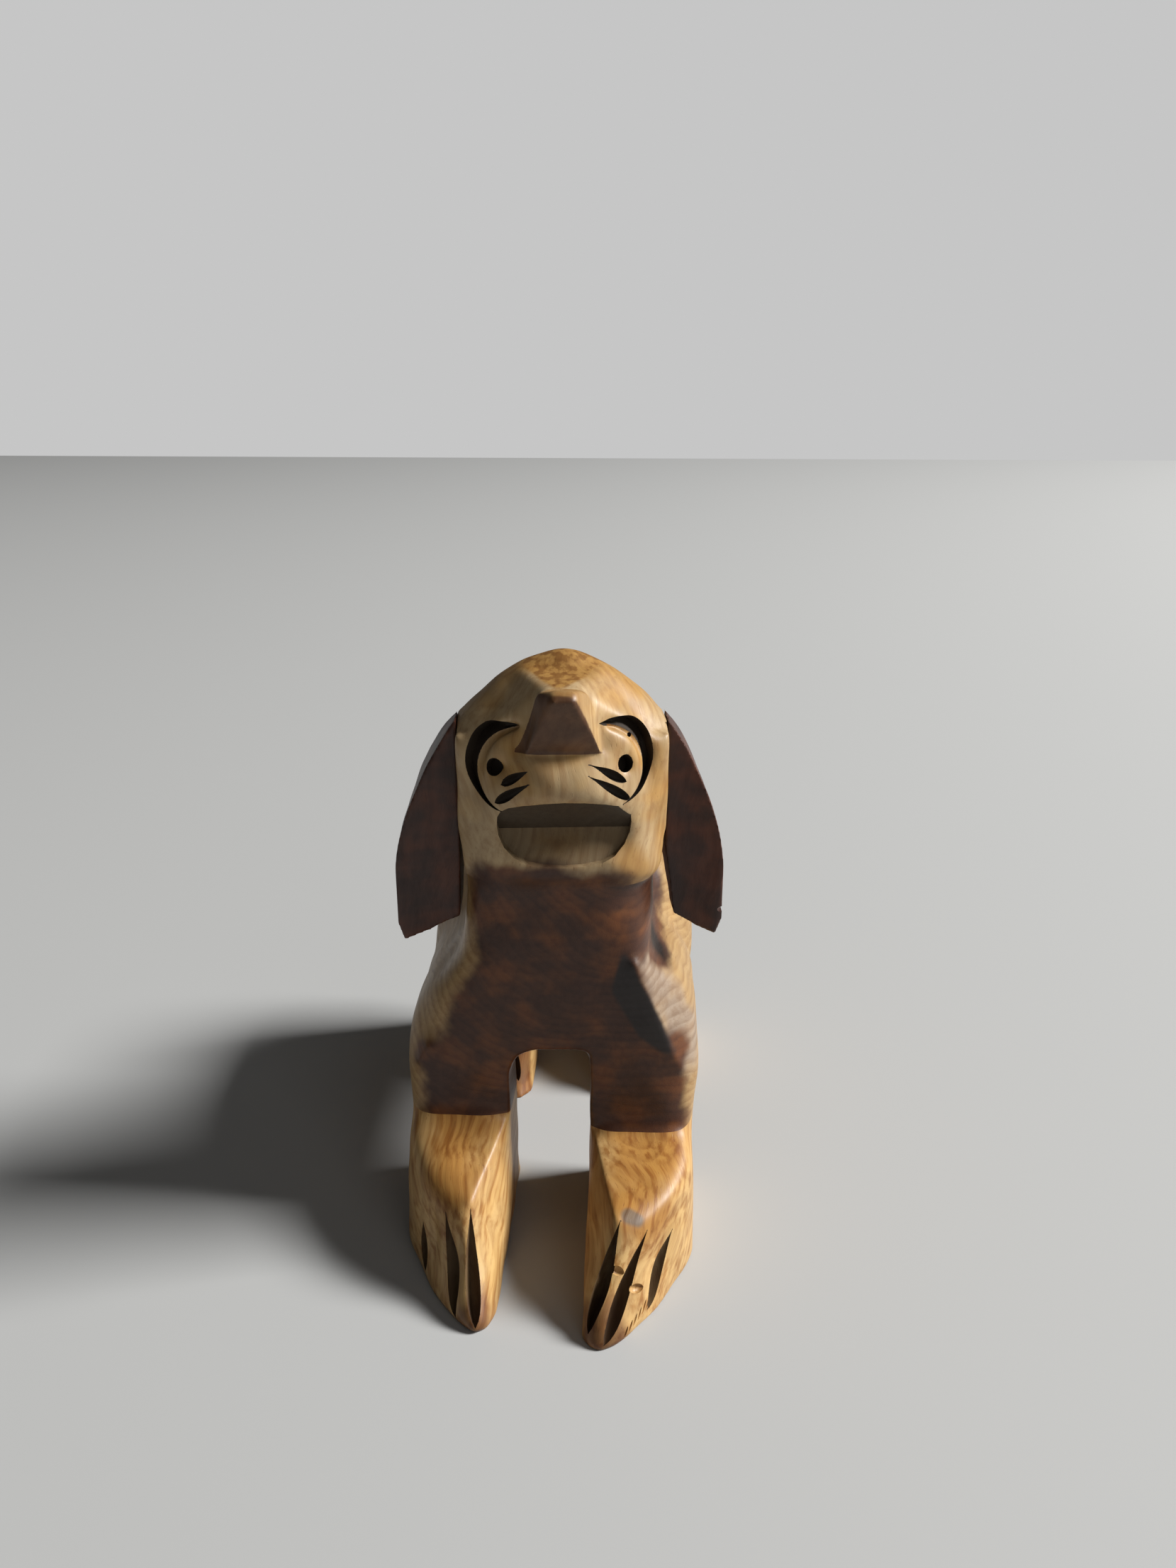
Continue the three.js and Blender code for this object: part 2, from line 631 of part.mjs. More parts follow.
// A crescent between two circles, thick on the outer side and running out to two points.
function eyeCrescent(centre, outward, up, normal) {
  const R = EYE_RADIUS;
  const w = EYE_CUT_WIDTH;
  const shift = (2 * w * R - w * w) / (2 * R - 2 * w);
  const inner = R + shift - w;
  const steps = 20;
  const points = [];
  for (let i = 0; i <= steps; i++) {
    const a = -Math.PI / 2 + (Math.PI * i) / steps;
    points.push([R * Math.cos(a), R * Math.sin(a)]);
  }
  const limit = Math.atan2(R, shift);
  for (let i = 1; i < steps; i++) {
    const a = limit - (2 * limit * i) / steps;
    points.push([inner * Math.cos(a) - shift, inner * Math.sin(a)]);
  }
  const turn = (EYE_CUT_TURN * Math.PI) / 180;
  const turned = points.map(([u, v]) => [
    u * Math.cos(turn) - v * Math.sin(turn),
    u * Math.sin(turn) + v * Math.cos(turn),
  ]);
  const hand = new THREE.Vector3().crossVectors(outward, up).dot(normal) > 0 ? 1 : -1;
  const flat = hand > 0 ? turned : turned.map(([u, v]) => [-u, v]);
  const place = new THREE.Matrix4().makeBasis(outward.clone().multiplyScalar(hand), up, normal);
  place.setPosition(centre.clone().addScaledVector(normal, -EYE_CUT_DEPTH));
  return solid(extruded(flat, EYE_CUT_DEPTH + 8).applyMatrix4(place));
}

// The nose is a wedge that overhangs the muzzle.
function makeNose() {
  const backY = noseSeatY - GLUE_GAP;
  const points = [];
  for (const s of [-1, 1]) {
    points.push(new THREE.Vector3(s * (NOSE_BASE_WIDTH / 2 + 0.8), backY, noseZ));
    points.push(new THREE.Vector3((s * NOSE_BASE_WIDTH) / 2, chestY - 0.8, noseZ));
    points.push(new THREE.Vector3(s * (NOSE_TIP_WIDTH / 2 + 2.2), backY, noseTopZ));
    points.push(new THREE.Vector3((s * NOSE_TIP_WIDTH) / 2, noseTipY + 0.5, noseTopZ - 0.9));
    points.push(new THREE.Vector3(s * (NOSE_TIP_WIDTH / 2 - 0.9), noseTipY, noseTopZ - 1.2));
    points.push(new THREE.Vector3(s * (NOSE_TIP_WIDTH / 2 - 0.9), noseTipY + 1.2, noseTopZ));
  }
  let nose = solid(new ConvexGeometry(points));
  const mid = new THREE.Vector3(0, backY - 1, (noseZ + noseTopZ) / 2);
  return nose.add(peg(NOSE_PEG_RADIUS, mid, mid.clone().setY(backY + NOSE_PEG_LENGTH)));
}

function earTongue(side, slack) {
  const [reach, depth, height] = EAR_TONGUE;
  const midY = earFrontY + EAR_DEPTH / 2 - 2;
  const midZ = neckZ + HEAD_HEIGHT / 2 - 4;
  const xs = [headHalf - reach - slack, earInnerX + 1];
  const [x0, x1] = side > 0 ? xs : [-xs[1], -xs[0]];
  return block(
    x0,
    x1,
    midY - depth / 2 - slack,
    midY + depth / 2 + slack,
    midZ - height / 2 - slack,
    midZ + height / 2 + slack,
  );
}

// A hanging flap, scooped in front, that carries on the dome of the head.
function makeEar(ear) {
  const { side, half, edge } = ear;
  const flip = (points) => points.map(([x, b]) => [side * x, b]);
  const front = flip([
    [earInnerX, neckZ + 4],
    [half - edge, earTipZ + 4],
    [half - edge / 2, earTipZ + 1.2],
    [half - 1.2, earTipZ],
    [half, earTipZ + 4],
    ...domeRun(ear, earInnerX, half - 0.001, 22),
  ]);
  const sideOutline = [
    [earFrontY, earTipZ - 1],
    [earFrontY - 1, neckZ + 10],
    [earFrontY, crownZ],
    [earFrontY + 6, crownZ],
    ...smooth(
      [
        [earFrontY + 9, neckZ + 33],
        [earBackY - 7, neckZ + 26],
        [earBackY - 1, neckZ + 17],
        [earBackY, neckZ + 8],
        [earBackY - 3, neckZ - 3],
        [earFrontY + 11, earTipZ + 5],
        [earFrontY + 6, earTipZ - 1],
      ],
      16,
    ),
  ];
  const plan = flip([
    [earInnerX, earFrontY - 3],
    [half + 2, earFrontY - 3],
    ...smooth(
      [
        [half + 1, earFrontY + 4],
        [half - 2.4, earFrontY + EAR_DEPTH * 0.6],
        [half - 9, earBackY - 1],
        [earInnerX, earBackY + 0.6],
      ],
      8,
    ),
  ]);
  let flap = alongY(front, earFrontY - 3, earBackY + 3);
  flap = flap.intersect(alongX(sideOutline, -BIG / 2, BIG / 2));
  flap = flap.intersect(alongZ(plan, earTipZ - 2, crownZ + 2));
  const width = half - earInnerX - 1;
  const scoop = (width * width + EAR_HOLLOW * EAR_HOLLOW) / (2 * EAR_HOLLOW);
  const scoopX = side * (earInnerX + 1);
  const scoopY = earFrontY - 1 - scoop + EAR_HOLLOW;
  const low = new THREE.Vector3(scoopX, scoopY, earTipZ - 10);
  const high = new THREE.Vector3(scoopX, scoopY, crownZ + 10);
  const axis = new THREE.CylinderGeometry(scoop, scoop, high.z - low.z, 72).rotateX(Math.PI / 2);
  flap = flap.subtract(solid(axis.translate(low.x, low.y, (low.z + high.z) / 2)));
  return flap.add(earTongue(side, 0));
}

// Each paw has a sloping front of four toes, a top facet up to the leg and a bevel on its inner side.
// A toe cut gives its upper end and its lower end, each as outward of the inner side and height.
const LEGS = [
  {
    name: "left_forepaw",
    side: 1,
    frontY: chestY,
    rearY: foreRearY,
    reach: LEFT_REACH,
    wrist: LEFT_WRIST,
    sweep: FORE_SWEEP,
    knuckle: FORE_KNUCKLE,
    setback: FORE_SETBACK,
    cuts: [
      [8.6, 20, 2.4, 2.6],
      [14.2, 19, 5.6, 1.8],
      [19.6, 17, 12.4, 4.4],
    ],
  },
  {
    name: "right_forepaw",
    side: -1,
    frontY: chestY,
    rearY: foreRearY,
    reach: RIGHT_REACH,
    wrist: RIGHT_WRIST,
    sweep: FORE_SWEEP,
    knuckle: FORE_KNUCKLE,
    setback: FORE_SETBACK,
    cuts: [
      [5.6, 20, 3.6, 2],
      [10.2, 19, 8, 2],
      [15.8, 17, 14.2, 4.6],
    ],
  },
  {
    name: "left_hind_paw",
    side: 1,
    frontY: hindFrontY,
    rearY: rumpY,
    reach: HIND_REACH,
    wrist: HIND_WRIST,
    sweep: HIND_SWEEP,
    knuckle: HIND_KNUCKLE,
    setback: HIND_SETBACK,
    cuts: [
      [7.4, 17, 3.6, 3.8],
      [12.6, 17, 8, 3.6],
      [17.6, 16, 14, 5.6],
    ],
  },
  {
    name: "right_hind_paw",
    side: -1,
    frontY: hindFrontY,
    rearY: rumpY,
    reach: HIND_REACH,
    wrist: HIND_WRIST,
    sweep: HIND_SWEEP,
    knuckle: HIND_KNUCKLE,
    setback: HIND_SETBACK,
    cuts: [
      [7.4, 17, 3.6, 3.8],
      [12.6, 17, 8, 3.6],
      [17.6, 16, 14, 5.6],
    ],
  },
];

function makePaw(leg) {
  const { side, frontY, rearY, reach, wrist, sweep, knuckle, setback } = leg;
  const inner = LEG_GAP / 2;
  const outer = bodyHalf - PAW_INSET;
  const tipX = inner + TIP_OFFSET;
  const tipY = frontY - reach;
  const spread = outer - tipX;
  const lean = setback / knuckle;
  const frontAt = (x, z) => {
    const share = THREE.MathUtils.clamp((x - tipX) / spread, 0, 0.999);
    const back = sweep * (1 - Math.pow(1 - Math.pow(share, TOE_TAPER), 1 / TOE_TAPER));
    return tipY + lean * z * (1 - 0.9 * Math.pow(share, 0.8)) + back;
  };
  const sections = [];
  for (let k = 0; k <= 6; k++) {
    const z = (wrist * k) / 6;
    const lip = k === 0 ? 0.8 : 0;
    const pull = 0.5 * Math.pow(z / knuckle, 2);
    const ring = [];
    for (let i = 0; i <= 3; i++) {
      const a = (Math.PI / 2) * (i / 3);
      ring.push([inner + TIP_OFFSET * (1 - Math.cos(a)), tipY + lean * z + lip + 5 * (1 - Math.sin(a))]);
    }
    for (let i = 1; i <= 12; i++) {
      const share = Math.sin((Math.PI / 2) * (i / 12));
      const x = tipX + spread * share;
      ring.push([x - pull * share, frontAt(x, z) + lip * (1 - share)]);
    }
    const heel = Math.max(rearY, ring[ring.length - 1][1] + 1);
    ring.push([outer - pull, heel - 3]);
    ring.push([outer - pull - 3, heel]);
    ring.push([inner, heel]);
    const points = ring.map(([x, y]) => new THREE.Vector3(side * x, y, z));
    sections.push(side > 0 ? points : points.reverse());
  }
  let paw = solid(new LoftGeometry(sections, { capStart: true, capEnd: true }));
  const topNormal = new THREE.Vector3(0, knuckle - wrist, reach - setback);
  paw = paw.subtract(beyond(new THREE.Vector3(0, frontY - GLUE_GAP, wrist), topNormal));
  const bevelTop = new THREE.Vector3(side * (inner + 0.5), frontY, wrist);
  const bevelLow = new THREE.Vector3(side * (inner + 6.5), tipY + setback, knuckle);
  const run = new THREE.Vector3().subVectors(bevelLow, bevelTop);
  const bevel = new THREE.Vector3().crossVectors(run, new THREE.Vector3(-side * 0.55, 0, -1));
  if (bevel.z < 0) bevel.negate();
  paw = paw.subtract(beyond(bevelTop, bevel));
  const knuckleY = tipY + setback;
  const rimTop = new THREE.Vector3(side * outer, frontY, wrist);
  const rimRun = new THREE.Vector3(side * (outer - 7), knuckleY, knuckle + 1.5).sub(rimTop);
  const rimDrop = new THREE.Vector3(side * outer, knuckleY, knuckle - 7).sub(rimTop);
  const rim = new THREE.Vector3().crossVectors(rimRun, rimDrop);
  if (rim.z < 0) rim.negate();
  paw = paw.subtract(beyond(rimTop, rim));
  for (const [high, highZ, low, foot] of leg.cuts) {
    const top = new THREE.Vector3(side * (inner + high), frontAt(inner + high, highZ), highZ);
    const end = new THREE.Vector3(side * (inner + low), frontAt(inner + low, foot), foot);
    const mid = inner + (high + low) / 2;
    const slope = (frontAt(mid + 0.5, 10) - frontAt(mid - 0.5, 10)) * side;
    const normal = new THREE.Vector3(slope, -1, lean).normalize();
    paw = paw.subtract(gougeCut(top, end, normal, TOE_CUT_RADIUS, TOE_CUT_DEPTH));
  }
  const foot = new THREE.Vector3(side * legX, (frontY + rearY) / 2, wrist - 1);
  return paw.add(peg(PAW_PEG_RADIUS, foot, foot.clone().setZ(wrist + PAW_PEG_LENGTH)));
}

// A short tail that lies down the rump, thinning to its tip.
function makeTail(bodySide) {
  const path = new THREE.CatmullRomCurve3([
    new THREE.Vector3(0, rumpY - 7, TAIL_TOP + 1),
    new THREE.Vector3(0, rumpY - 1, TAIL_TOP - 3),
    new THREE.Vector3(0, rumpY + 1.4, TAIL_TOP - TAIL_LENGTH * 0.4),
    new THREE.Vector3(0, rumpY + 1.6, TAIL_TOP - TAIL_LENGTH * 0.75),
    new THREE.Vector3(0, rumpY + 2.2, TAIL_TOP - TAIL_LENGTH),
  ]);
  const sections = [];
  for (let k = 0; k <= 12; k++) {
    const t = k / 12;
    const centre = path.getPoint(t);
    const along = path.getTangent(t);
    const out = new THREE.Vector3(0, -along.z, along.y);
    const limit = LENGTH / 2 - centre.y;
    const taper = TAIL_RADIUS * (1 - 0.45 * t) * (k === 12 ? 0.5 : 1);
    const ring = [];
    for (let i = 0; i < 18; i++) {
      const a = (2 * Math.PI * i) / 18;
      const p = centre.clone();
      p.x += Math.cos(a) * taper;
      p.addScaledVector(out, Math.sin(a) * Math.min(taper, limit));
      ring.push(p);
    }
    sections.push(ring.reverse());
  }
  let tail = solid(new LoftGeometry(sections, { capStart: true, capEnd: true }));
  const clear = bodySide.map(([y, z]) => {
    const back = y > 0 ? GLUE_GAP : 0;
    const up = z > BELLY_HEIGHT ? GLUE_GAP : 0;
    return [y + back, z + up];
  });
  tail = tail.subtract(alongX(clear, -bodyHalf, bodyHalf));
  const root = new THREE.Vector3(0, rumpY + 1.5, TAIL_TOP - 8);
  return tail.add(peg(TAIL_PEG_RADIUS, root, root.clone().setY(rumpY - TAIL_PEG_LENGTH)));
}

const dog = new THREE.Group();
dog.name = "carved_dog";
const { body, side } = makeBody();
dog.add(piece("body", body, 0x7a4a2e, 0.45));
const looking = [
  piece("head", makeHead(), 0xb98c52, 0.42),
  piece("nose", makeNose(), 0x5a3826, 0.45),
  piece("left_ear", makeEar(LEFT), 0x54302a, 0.45),
  piece("right_ear", makeEar(RIGHT), 0x54302a, 0.45),
];
for (const mesh of looking) {
  mesh.geometry.translate(HEAD_SHIFT, -neckMidY, 0);
  mesh.geometry.rotateZ((HEAD_TURN * Math.PI) / 180);
  mesh.geometry.translate(0, neckMidY, 0);
  dog.add(mesh);
}
for (const leg of LEGS) dog.add(piece(leg.name, makePaw(leg), 0xc69c62, 0.42));
dog.add(piece("tail", makeTail(side), 0xb08048, 0.45));

// The middle of the footprint is the origin.
const extent = new THREE.Box3().setFromObject(dog);
const centre = extent.getCenter(new THREE.Vector3());
for (const mesh of dog.children) mesh.geometry.translate(-centre.x, -centre.y, -extent.min.z);

export default dog;
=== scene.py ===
import math

import bmesh
import bpy
import numpy as np
from mathutils import Matrix, Vector, kdtree
from mathutils.bvhtree import BVHTree


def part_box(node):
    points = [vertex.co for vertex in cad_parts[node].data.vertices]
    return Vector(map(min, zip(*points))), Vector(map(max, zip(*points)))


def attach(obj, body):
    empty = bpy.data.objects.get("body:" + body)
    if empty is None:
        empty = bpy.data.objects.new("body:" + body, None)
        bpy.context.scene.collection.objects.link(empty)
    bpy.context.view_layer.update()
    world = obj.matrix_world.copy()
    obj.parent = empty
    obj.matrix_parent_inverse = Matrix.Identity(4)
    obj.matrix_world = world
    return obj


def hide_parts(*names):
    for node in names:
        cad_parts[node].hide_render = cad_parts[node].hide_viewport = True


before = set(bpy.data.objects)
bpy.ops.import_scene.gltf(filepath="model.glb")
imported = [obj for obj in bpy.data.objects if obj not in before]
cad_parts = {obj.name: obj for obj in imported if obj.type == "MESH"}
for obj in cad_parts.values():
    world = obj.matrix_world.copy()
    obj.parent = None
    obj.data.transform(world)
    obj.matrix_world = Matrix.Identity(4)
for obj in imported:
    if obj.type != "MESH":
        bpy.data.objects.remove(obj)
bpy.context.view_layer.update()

# Body: trunk, chest, neck and upper legs, the main block of reddish heartwood with pale sapwood flanks.
# One skin is drawn over every piece but the ears, sanded, and parted at the glue lines, so the wood runs on.
# The chest keeps one crisp knife edge, on the dog's left, with a violet-black stain in the wood beside it.

mm = 0.001
half_glue_gap = 0.15 * mm
body_low, body_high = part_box("body")
middle = (body_low.x + body_high.x) / 2
chest = body_low.y
rump = body_high.y
neck_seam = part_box("head")[0].z - half_glue_gap
skin_grain = 0.36 * mm
glue_overlap = 0.2 * mm
neck_axis = 19 * mm
belly = 44.5 * mm


def merged_copy(node):
    """A copy of a frame node with its loose triangles merged."""
    merge_gap = 1e-6
    copy = bmesh.new()
    copy.from_mesh(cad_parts[node].data)
    bmesh.ops.remove_doubles(copy, verts=copy.verts, dist=merge_gap)
    copy.normal_update()
    return copy


def linked(name, data):
    """Puts a mesh, a lamp or a camera into the scene."""
    thing = bpy.data.objects.new(name, data)
    bpy.context.scene.collection.objects.link(thing)
    return thing


def worked(thing):
    """The mesh of an object after its modifiers. The object is used up."""
    shown = thing.evaluated_get(bpy.context.evaluated_depsgraph_get())
    mesh = bpy.data.meshes.new_from_object(shown)
    bpy.data.objects.remove(thing)
    return mesh


def glued_up(nodes, overlap):
    """One closed skin round several frame nodes, grown so that the glue gaps between them shut."""
    block = bmesh.new()
    for node in nodes:
        copy = merged_copy(node)
        grown = [v.co + v.normal * overlap for v in copy.verts]
        for v, place in zip(copy.verts, grown):
            v.co = place
        loose = bpy.data.meshes.new(node)
        copy.to_mesh(loose)
        copy.free()
        block.from_mesh(loose)
        bpy.data.meshes.remove(loose)
    mesh = bpy.data.meshes.new("glued_up")
    block.to_mesh(mesh)
    block.free()
    blank = linked("glued_up", mesh)
    skin = blank.modifiers.new("skin", "REMESH")
    skin.mode = "VOXEL"
    skin.voxel_size = skin_grain
    return worked(blank)


def knife_edges(node, keep, glue_line=0.6 * mm, angle=34, step=0.5 * mm):
    """Points along the sharp edges of a node, apart from those on a glue line with another node."""
    copy = merged_copy(node)
    others = [BVHTree.FromBMesh(merged_copy(other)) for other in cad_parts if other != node]
    points = []
    for edge in copy.edges:
        if len(edge.link_faces) != 2 or edge.calc_face_angle(0) < math.radians(angle):
            continue
        a, b = (v.co for v in edge.verts)
        half_way = (a + b) / 2
        if not keep(half_way) or any(tree.find_nearest(half_way, glue_line)[0] for tree in others):
            continue
        count = max(1, int((b - a).length / step))
        points.extend(a.lerp(b, i / count) for i in range(count + 1))
    copy.free()
    return points


def places(mesh):
    """The points of a mesh, one row each."""
    spots = np.empty(len(mesh.vertices) * 3)
    mesh.vertices.foreach_get("co", spots)
    return spots.reshape(-1, 3)


def rising(values, start, over):
    """0 up to a start, then rising smoothly to 1 over a length."""
    t = np.clip((values - start) / over, 0, 1)
    return t * t * (3 - 2 * t)


def rubbed(mesh, weights, rounds):
    """Rubs a skin smooth, more where the weight is greater."""
    steps = 40
    thing = linked("rubbed", mesh)
    group = thing.vertex_groups.new(name="rub")
    levels = np.round(weights * steps).astype(int)
    for level in range(1, steps + 1):
        group.add(np.flatnonzero(levels == level).tolist(), level / steps, "REPLACE")
    paper = thing.modifiers.new("paper", "SMOOTH")
    paper.factor = 0.5
    paper.iterations = rounds
    paper.vertex_group = "rub"
    return worked(thing)


def away_from(points, spots):
    """How far each spot lies from the nearest of some points."""
    tree = kdtree.KDTree(len(points))
    for i, point in enumerate(points):
        tree.insert(point, i)
    tree.balance()
    return np.array([tree.find(spot)[2] for spot in spots])


def near_zone(spots, centre, reach):
    """1 in the middle of an egg-shaped zone, falling to 0 at its rim, sizes in millimetres."""
    soft_rim = 0.625
    off = (spots / mm - np.array(centre)) / np.array(reach)
    return rising(1 - np.linalg.norm(off, axis=1), 0, soft_rim)


def sanding_by(edge_distance):
    """How hard a point is sanded: very little on a knife edge, fully a short way off it."""
    on_edge = 0.06
    crisp = 0.4 * mm
    blend = 2.2 * mm
    return on_edge + (1 - on_edge) * rising(edge_distance, crisp, blend)


def wavered(mesh, height, seed):
    """Leaves the slight hollows and swells of handwork in a skin."""
    wave_count = 9
    shortest = 7
    longest = 17
    spots = places(mesh)
    normals = np.empty(len(mesh.vertices) * 3)
    mesh.vertices.foreach_get("normal", normals)
    rng = np.random.default_rng(seed)
    lift = np.zeros(len(spots))
    for _ in range(wave_count):
        heading = rng.normal(size=3)
        heading /= np.linalg.norm(heading)
        wave = rng.uniform(shortest, longest) * mm
        lift += np.sin(spots @ heading * (2 * math.pi / wave) + rng.uniform(0, 2 * math.pi))
    spots += normals.reshape(-1, 3) * (lift * height / math.sqrt(wave_count))[:, None]
    mesh.vertices.foreach_set("co", spots.ravel())
    mesh.update()
    return mesh


def cell(low, high, turn=None):
    """A box, in metres, that a piece is parted by."""
    shape = bmesh.new()
    bmesh.ops.create_cube(shape, size=1)
    low, high = Vector(low), Vector(high)
    place = Matrix.Translation((low + high) / 2) @ Matrix.Diagonal(high - low).to_4x4()
    bmesh.ops.transform(shape, matrix=(turn or Matrix()) @ place, verts=shape.verts)
    mesh = bpy.data.meshes.new("cell")
    shape.to_mesh(mesh)
    shape.free()
    return linked("cell", mesh)


def sawn(mesh, inside=(), outside=()):
    """The share of a mesh that lies inside some solids and outside others."""
    thing = linked("sawn", mesh)
    for how, solids in (("INTERSECT", inside), ("DIFFERENCE", outside)):
        for solid in solids:
            saw = thing.modifiers.new("saw", "BOOLEAN")
            saw.operation = how
            saw.solver = "MANIFOLD"
            saw.object = solid
    return worked(thing)


def swept(mesh):
    """Drops the crumbs and bubbles that lie loose from a piece."""
    ends = np.empty(len(mesh.edges) * 2, np.int32)
    mesh.edges.foreach_get("vertices", ends)
    one_end, other_end = ends.reshape(-1, 2).T
    island = np.arange(len(mesh.vertices))
    settled = False
    while not settled:
        before = island.copy()
        lowest = np.minimum(island[one_end], island[other_end])
        np.minimum.at(island, one_end, lowest)
        np.minimum.at(island, other_end, lowest)
        island = island[island]
        settled = np.array_equal(island, before)
    crumbs = np.flatnonzero(island != np.bincount(island).argmax())
    shape = bmesh.new()
    shape.from_mesh(mesh)
    shape.verts.ensure_lookup_table()
    bmesh.ops.delete(shape, geom=[shape.verts[i] for i in crumbs.tolist()], context="VERTS")
    shape.to_mesh(mesh)
    shape.free()
    return mesh


def thinned(mesh, most):
    """Fewer faces where a piece is nearly flat, down to a count of triangles."""
    mesh.calc_loop_triangles()
    count = len(mesh.loop_triangles)
    if count <= most:
        return mesh
    thing = linked("thinned", mesh)
    plane = thing.modifiers.new("plane", "DECIMATE")
    plane.ratio = most / count
    return worked(thing)


def strokes_field(spots, strokes):
    """How far inside a set of tapering strokes each point lies, in millimetres."""
    far_outside = -50.0
    depth = np.full(len(spots), far_outside)
    points = spots / mm
    for start, end, start_radius, end_radius in strokes:
        start, end = np.array(start, float), np.array(end, float)
        along = end - start
        t = np.clip((points - start) @ along / (along @ along), 0, 1)
        off = np.linalg.norm(points - start - t[:, None] * along, axis=1)
        depth = np.maximum(depth, start_radius + (end_radius - start_radius) * t - off)
    return depth


def figured(mesh, **patches):
    """Stores on each point how far it lies inside each patch of the wood's figure."""
    spots = places(mesh)
    for name, strokes in patches.items():
        values = mesh.attributes.new(name, "FLOAT", "POINT")
        values.data.foreach_set("value", strokes_field(spots, strokes).astype(np.float32))


def fixed(mesh, name, node, finish):
    """Puts a finished piece in the place of its frame node."""
    crease_angle = math.radians(38)
    mesh.name = name
    mesh.shade_smooth()
    mesh.set_sharp_from_angle(angle=crease_angle)
    mesh.materials.clear()
    mesh.materials.append(finish)
    piece = linked(name, mesh)
    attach(piece, "root")
    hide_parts(node)
    return piece


class Bench:
    """Adds nodes to a tree and joins them."""

    def __init__(self, tree):
        self.tree = tree

    def add(self, kind, inputs=None, **settings):
        node = self.tree.nodes.new(kind)
        for name, value in settings.items():
            setattr(node, name, value)
        for name, value in (inputs or {}).items():
            if isinstance(value, bpy.types.NodeSocket):
                self.tree.links.new(value, node.inputs[name])
            else:
                node.inputs[name].default_value = value
        return node

    def sum(self, operation, a, b=0.0):
        return self.add("ShaderNodeMath", {0: a, 1: b}, operation=operation).outputs[0]

    def vector(self, operation, a, b):
        return self.add("ShaderNodeVectorMath", {0: a, 1: b}, operation=operation).outputs[0]

    def soft_step(self, value, low, high):
        inputs = {"Value": value, "From Min": low, "From Max": high}
        return self.add("ShaderNodeMapRange", inputs, interpolation_type="SMOOTHSTEP").outputs[0]

    def mixed(self, share, a, b, blend="MIX"):
        node = self.add("ShaderNodeMix", {"Factor": share}, data_type="RGBA", blend_type=blend)
        for socket, value in ((node.inputs[6], a), (node.inputs[7], b)):
            if isinstance(value, bpy.types.NodeSocket):
                self.tree.links.new(value, socket)
            else:
                socket.default_value = value
        return node.outputs[2]


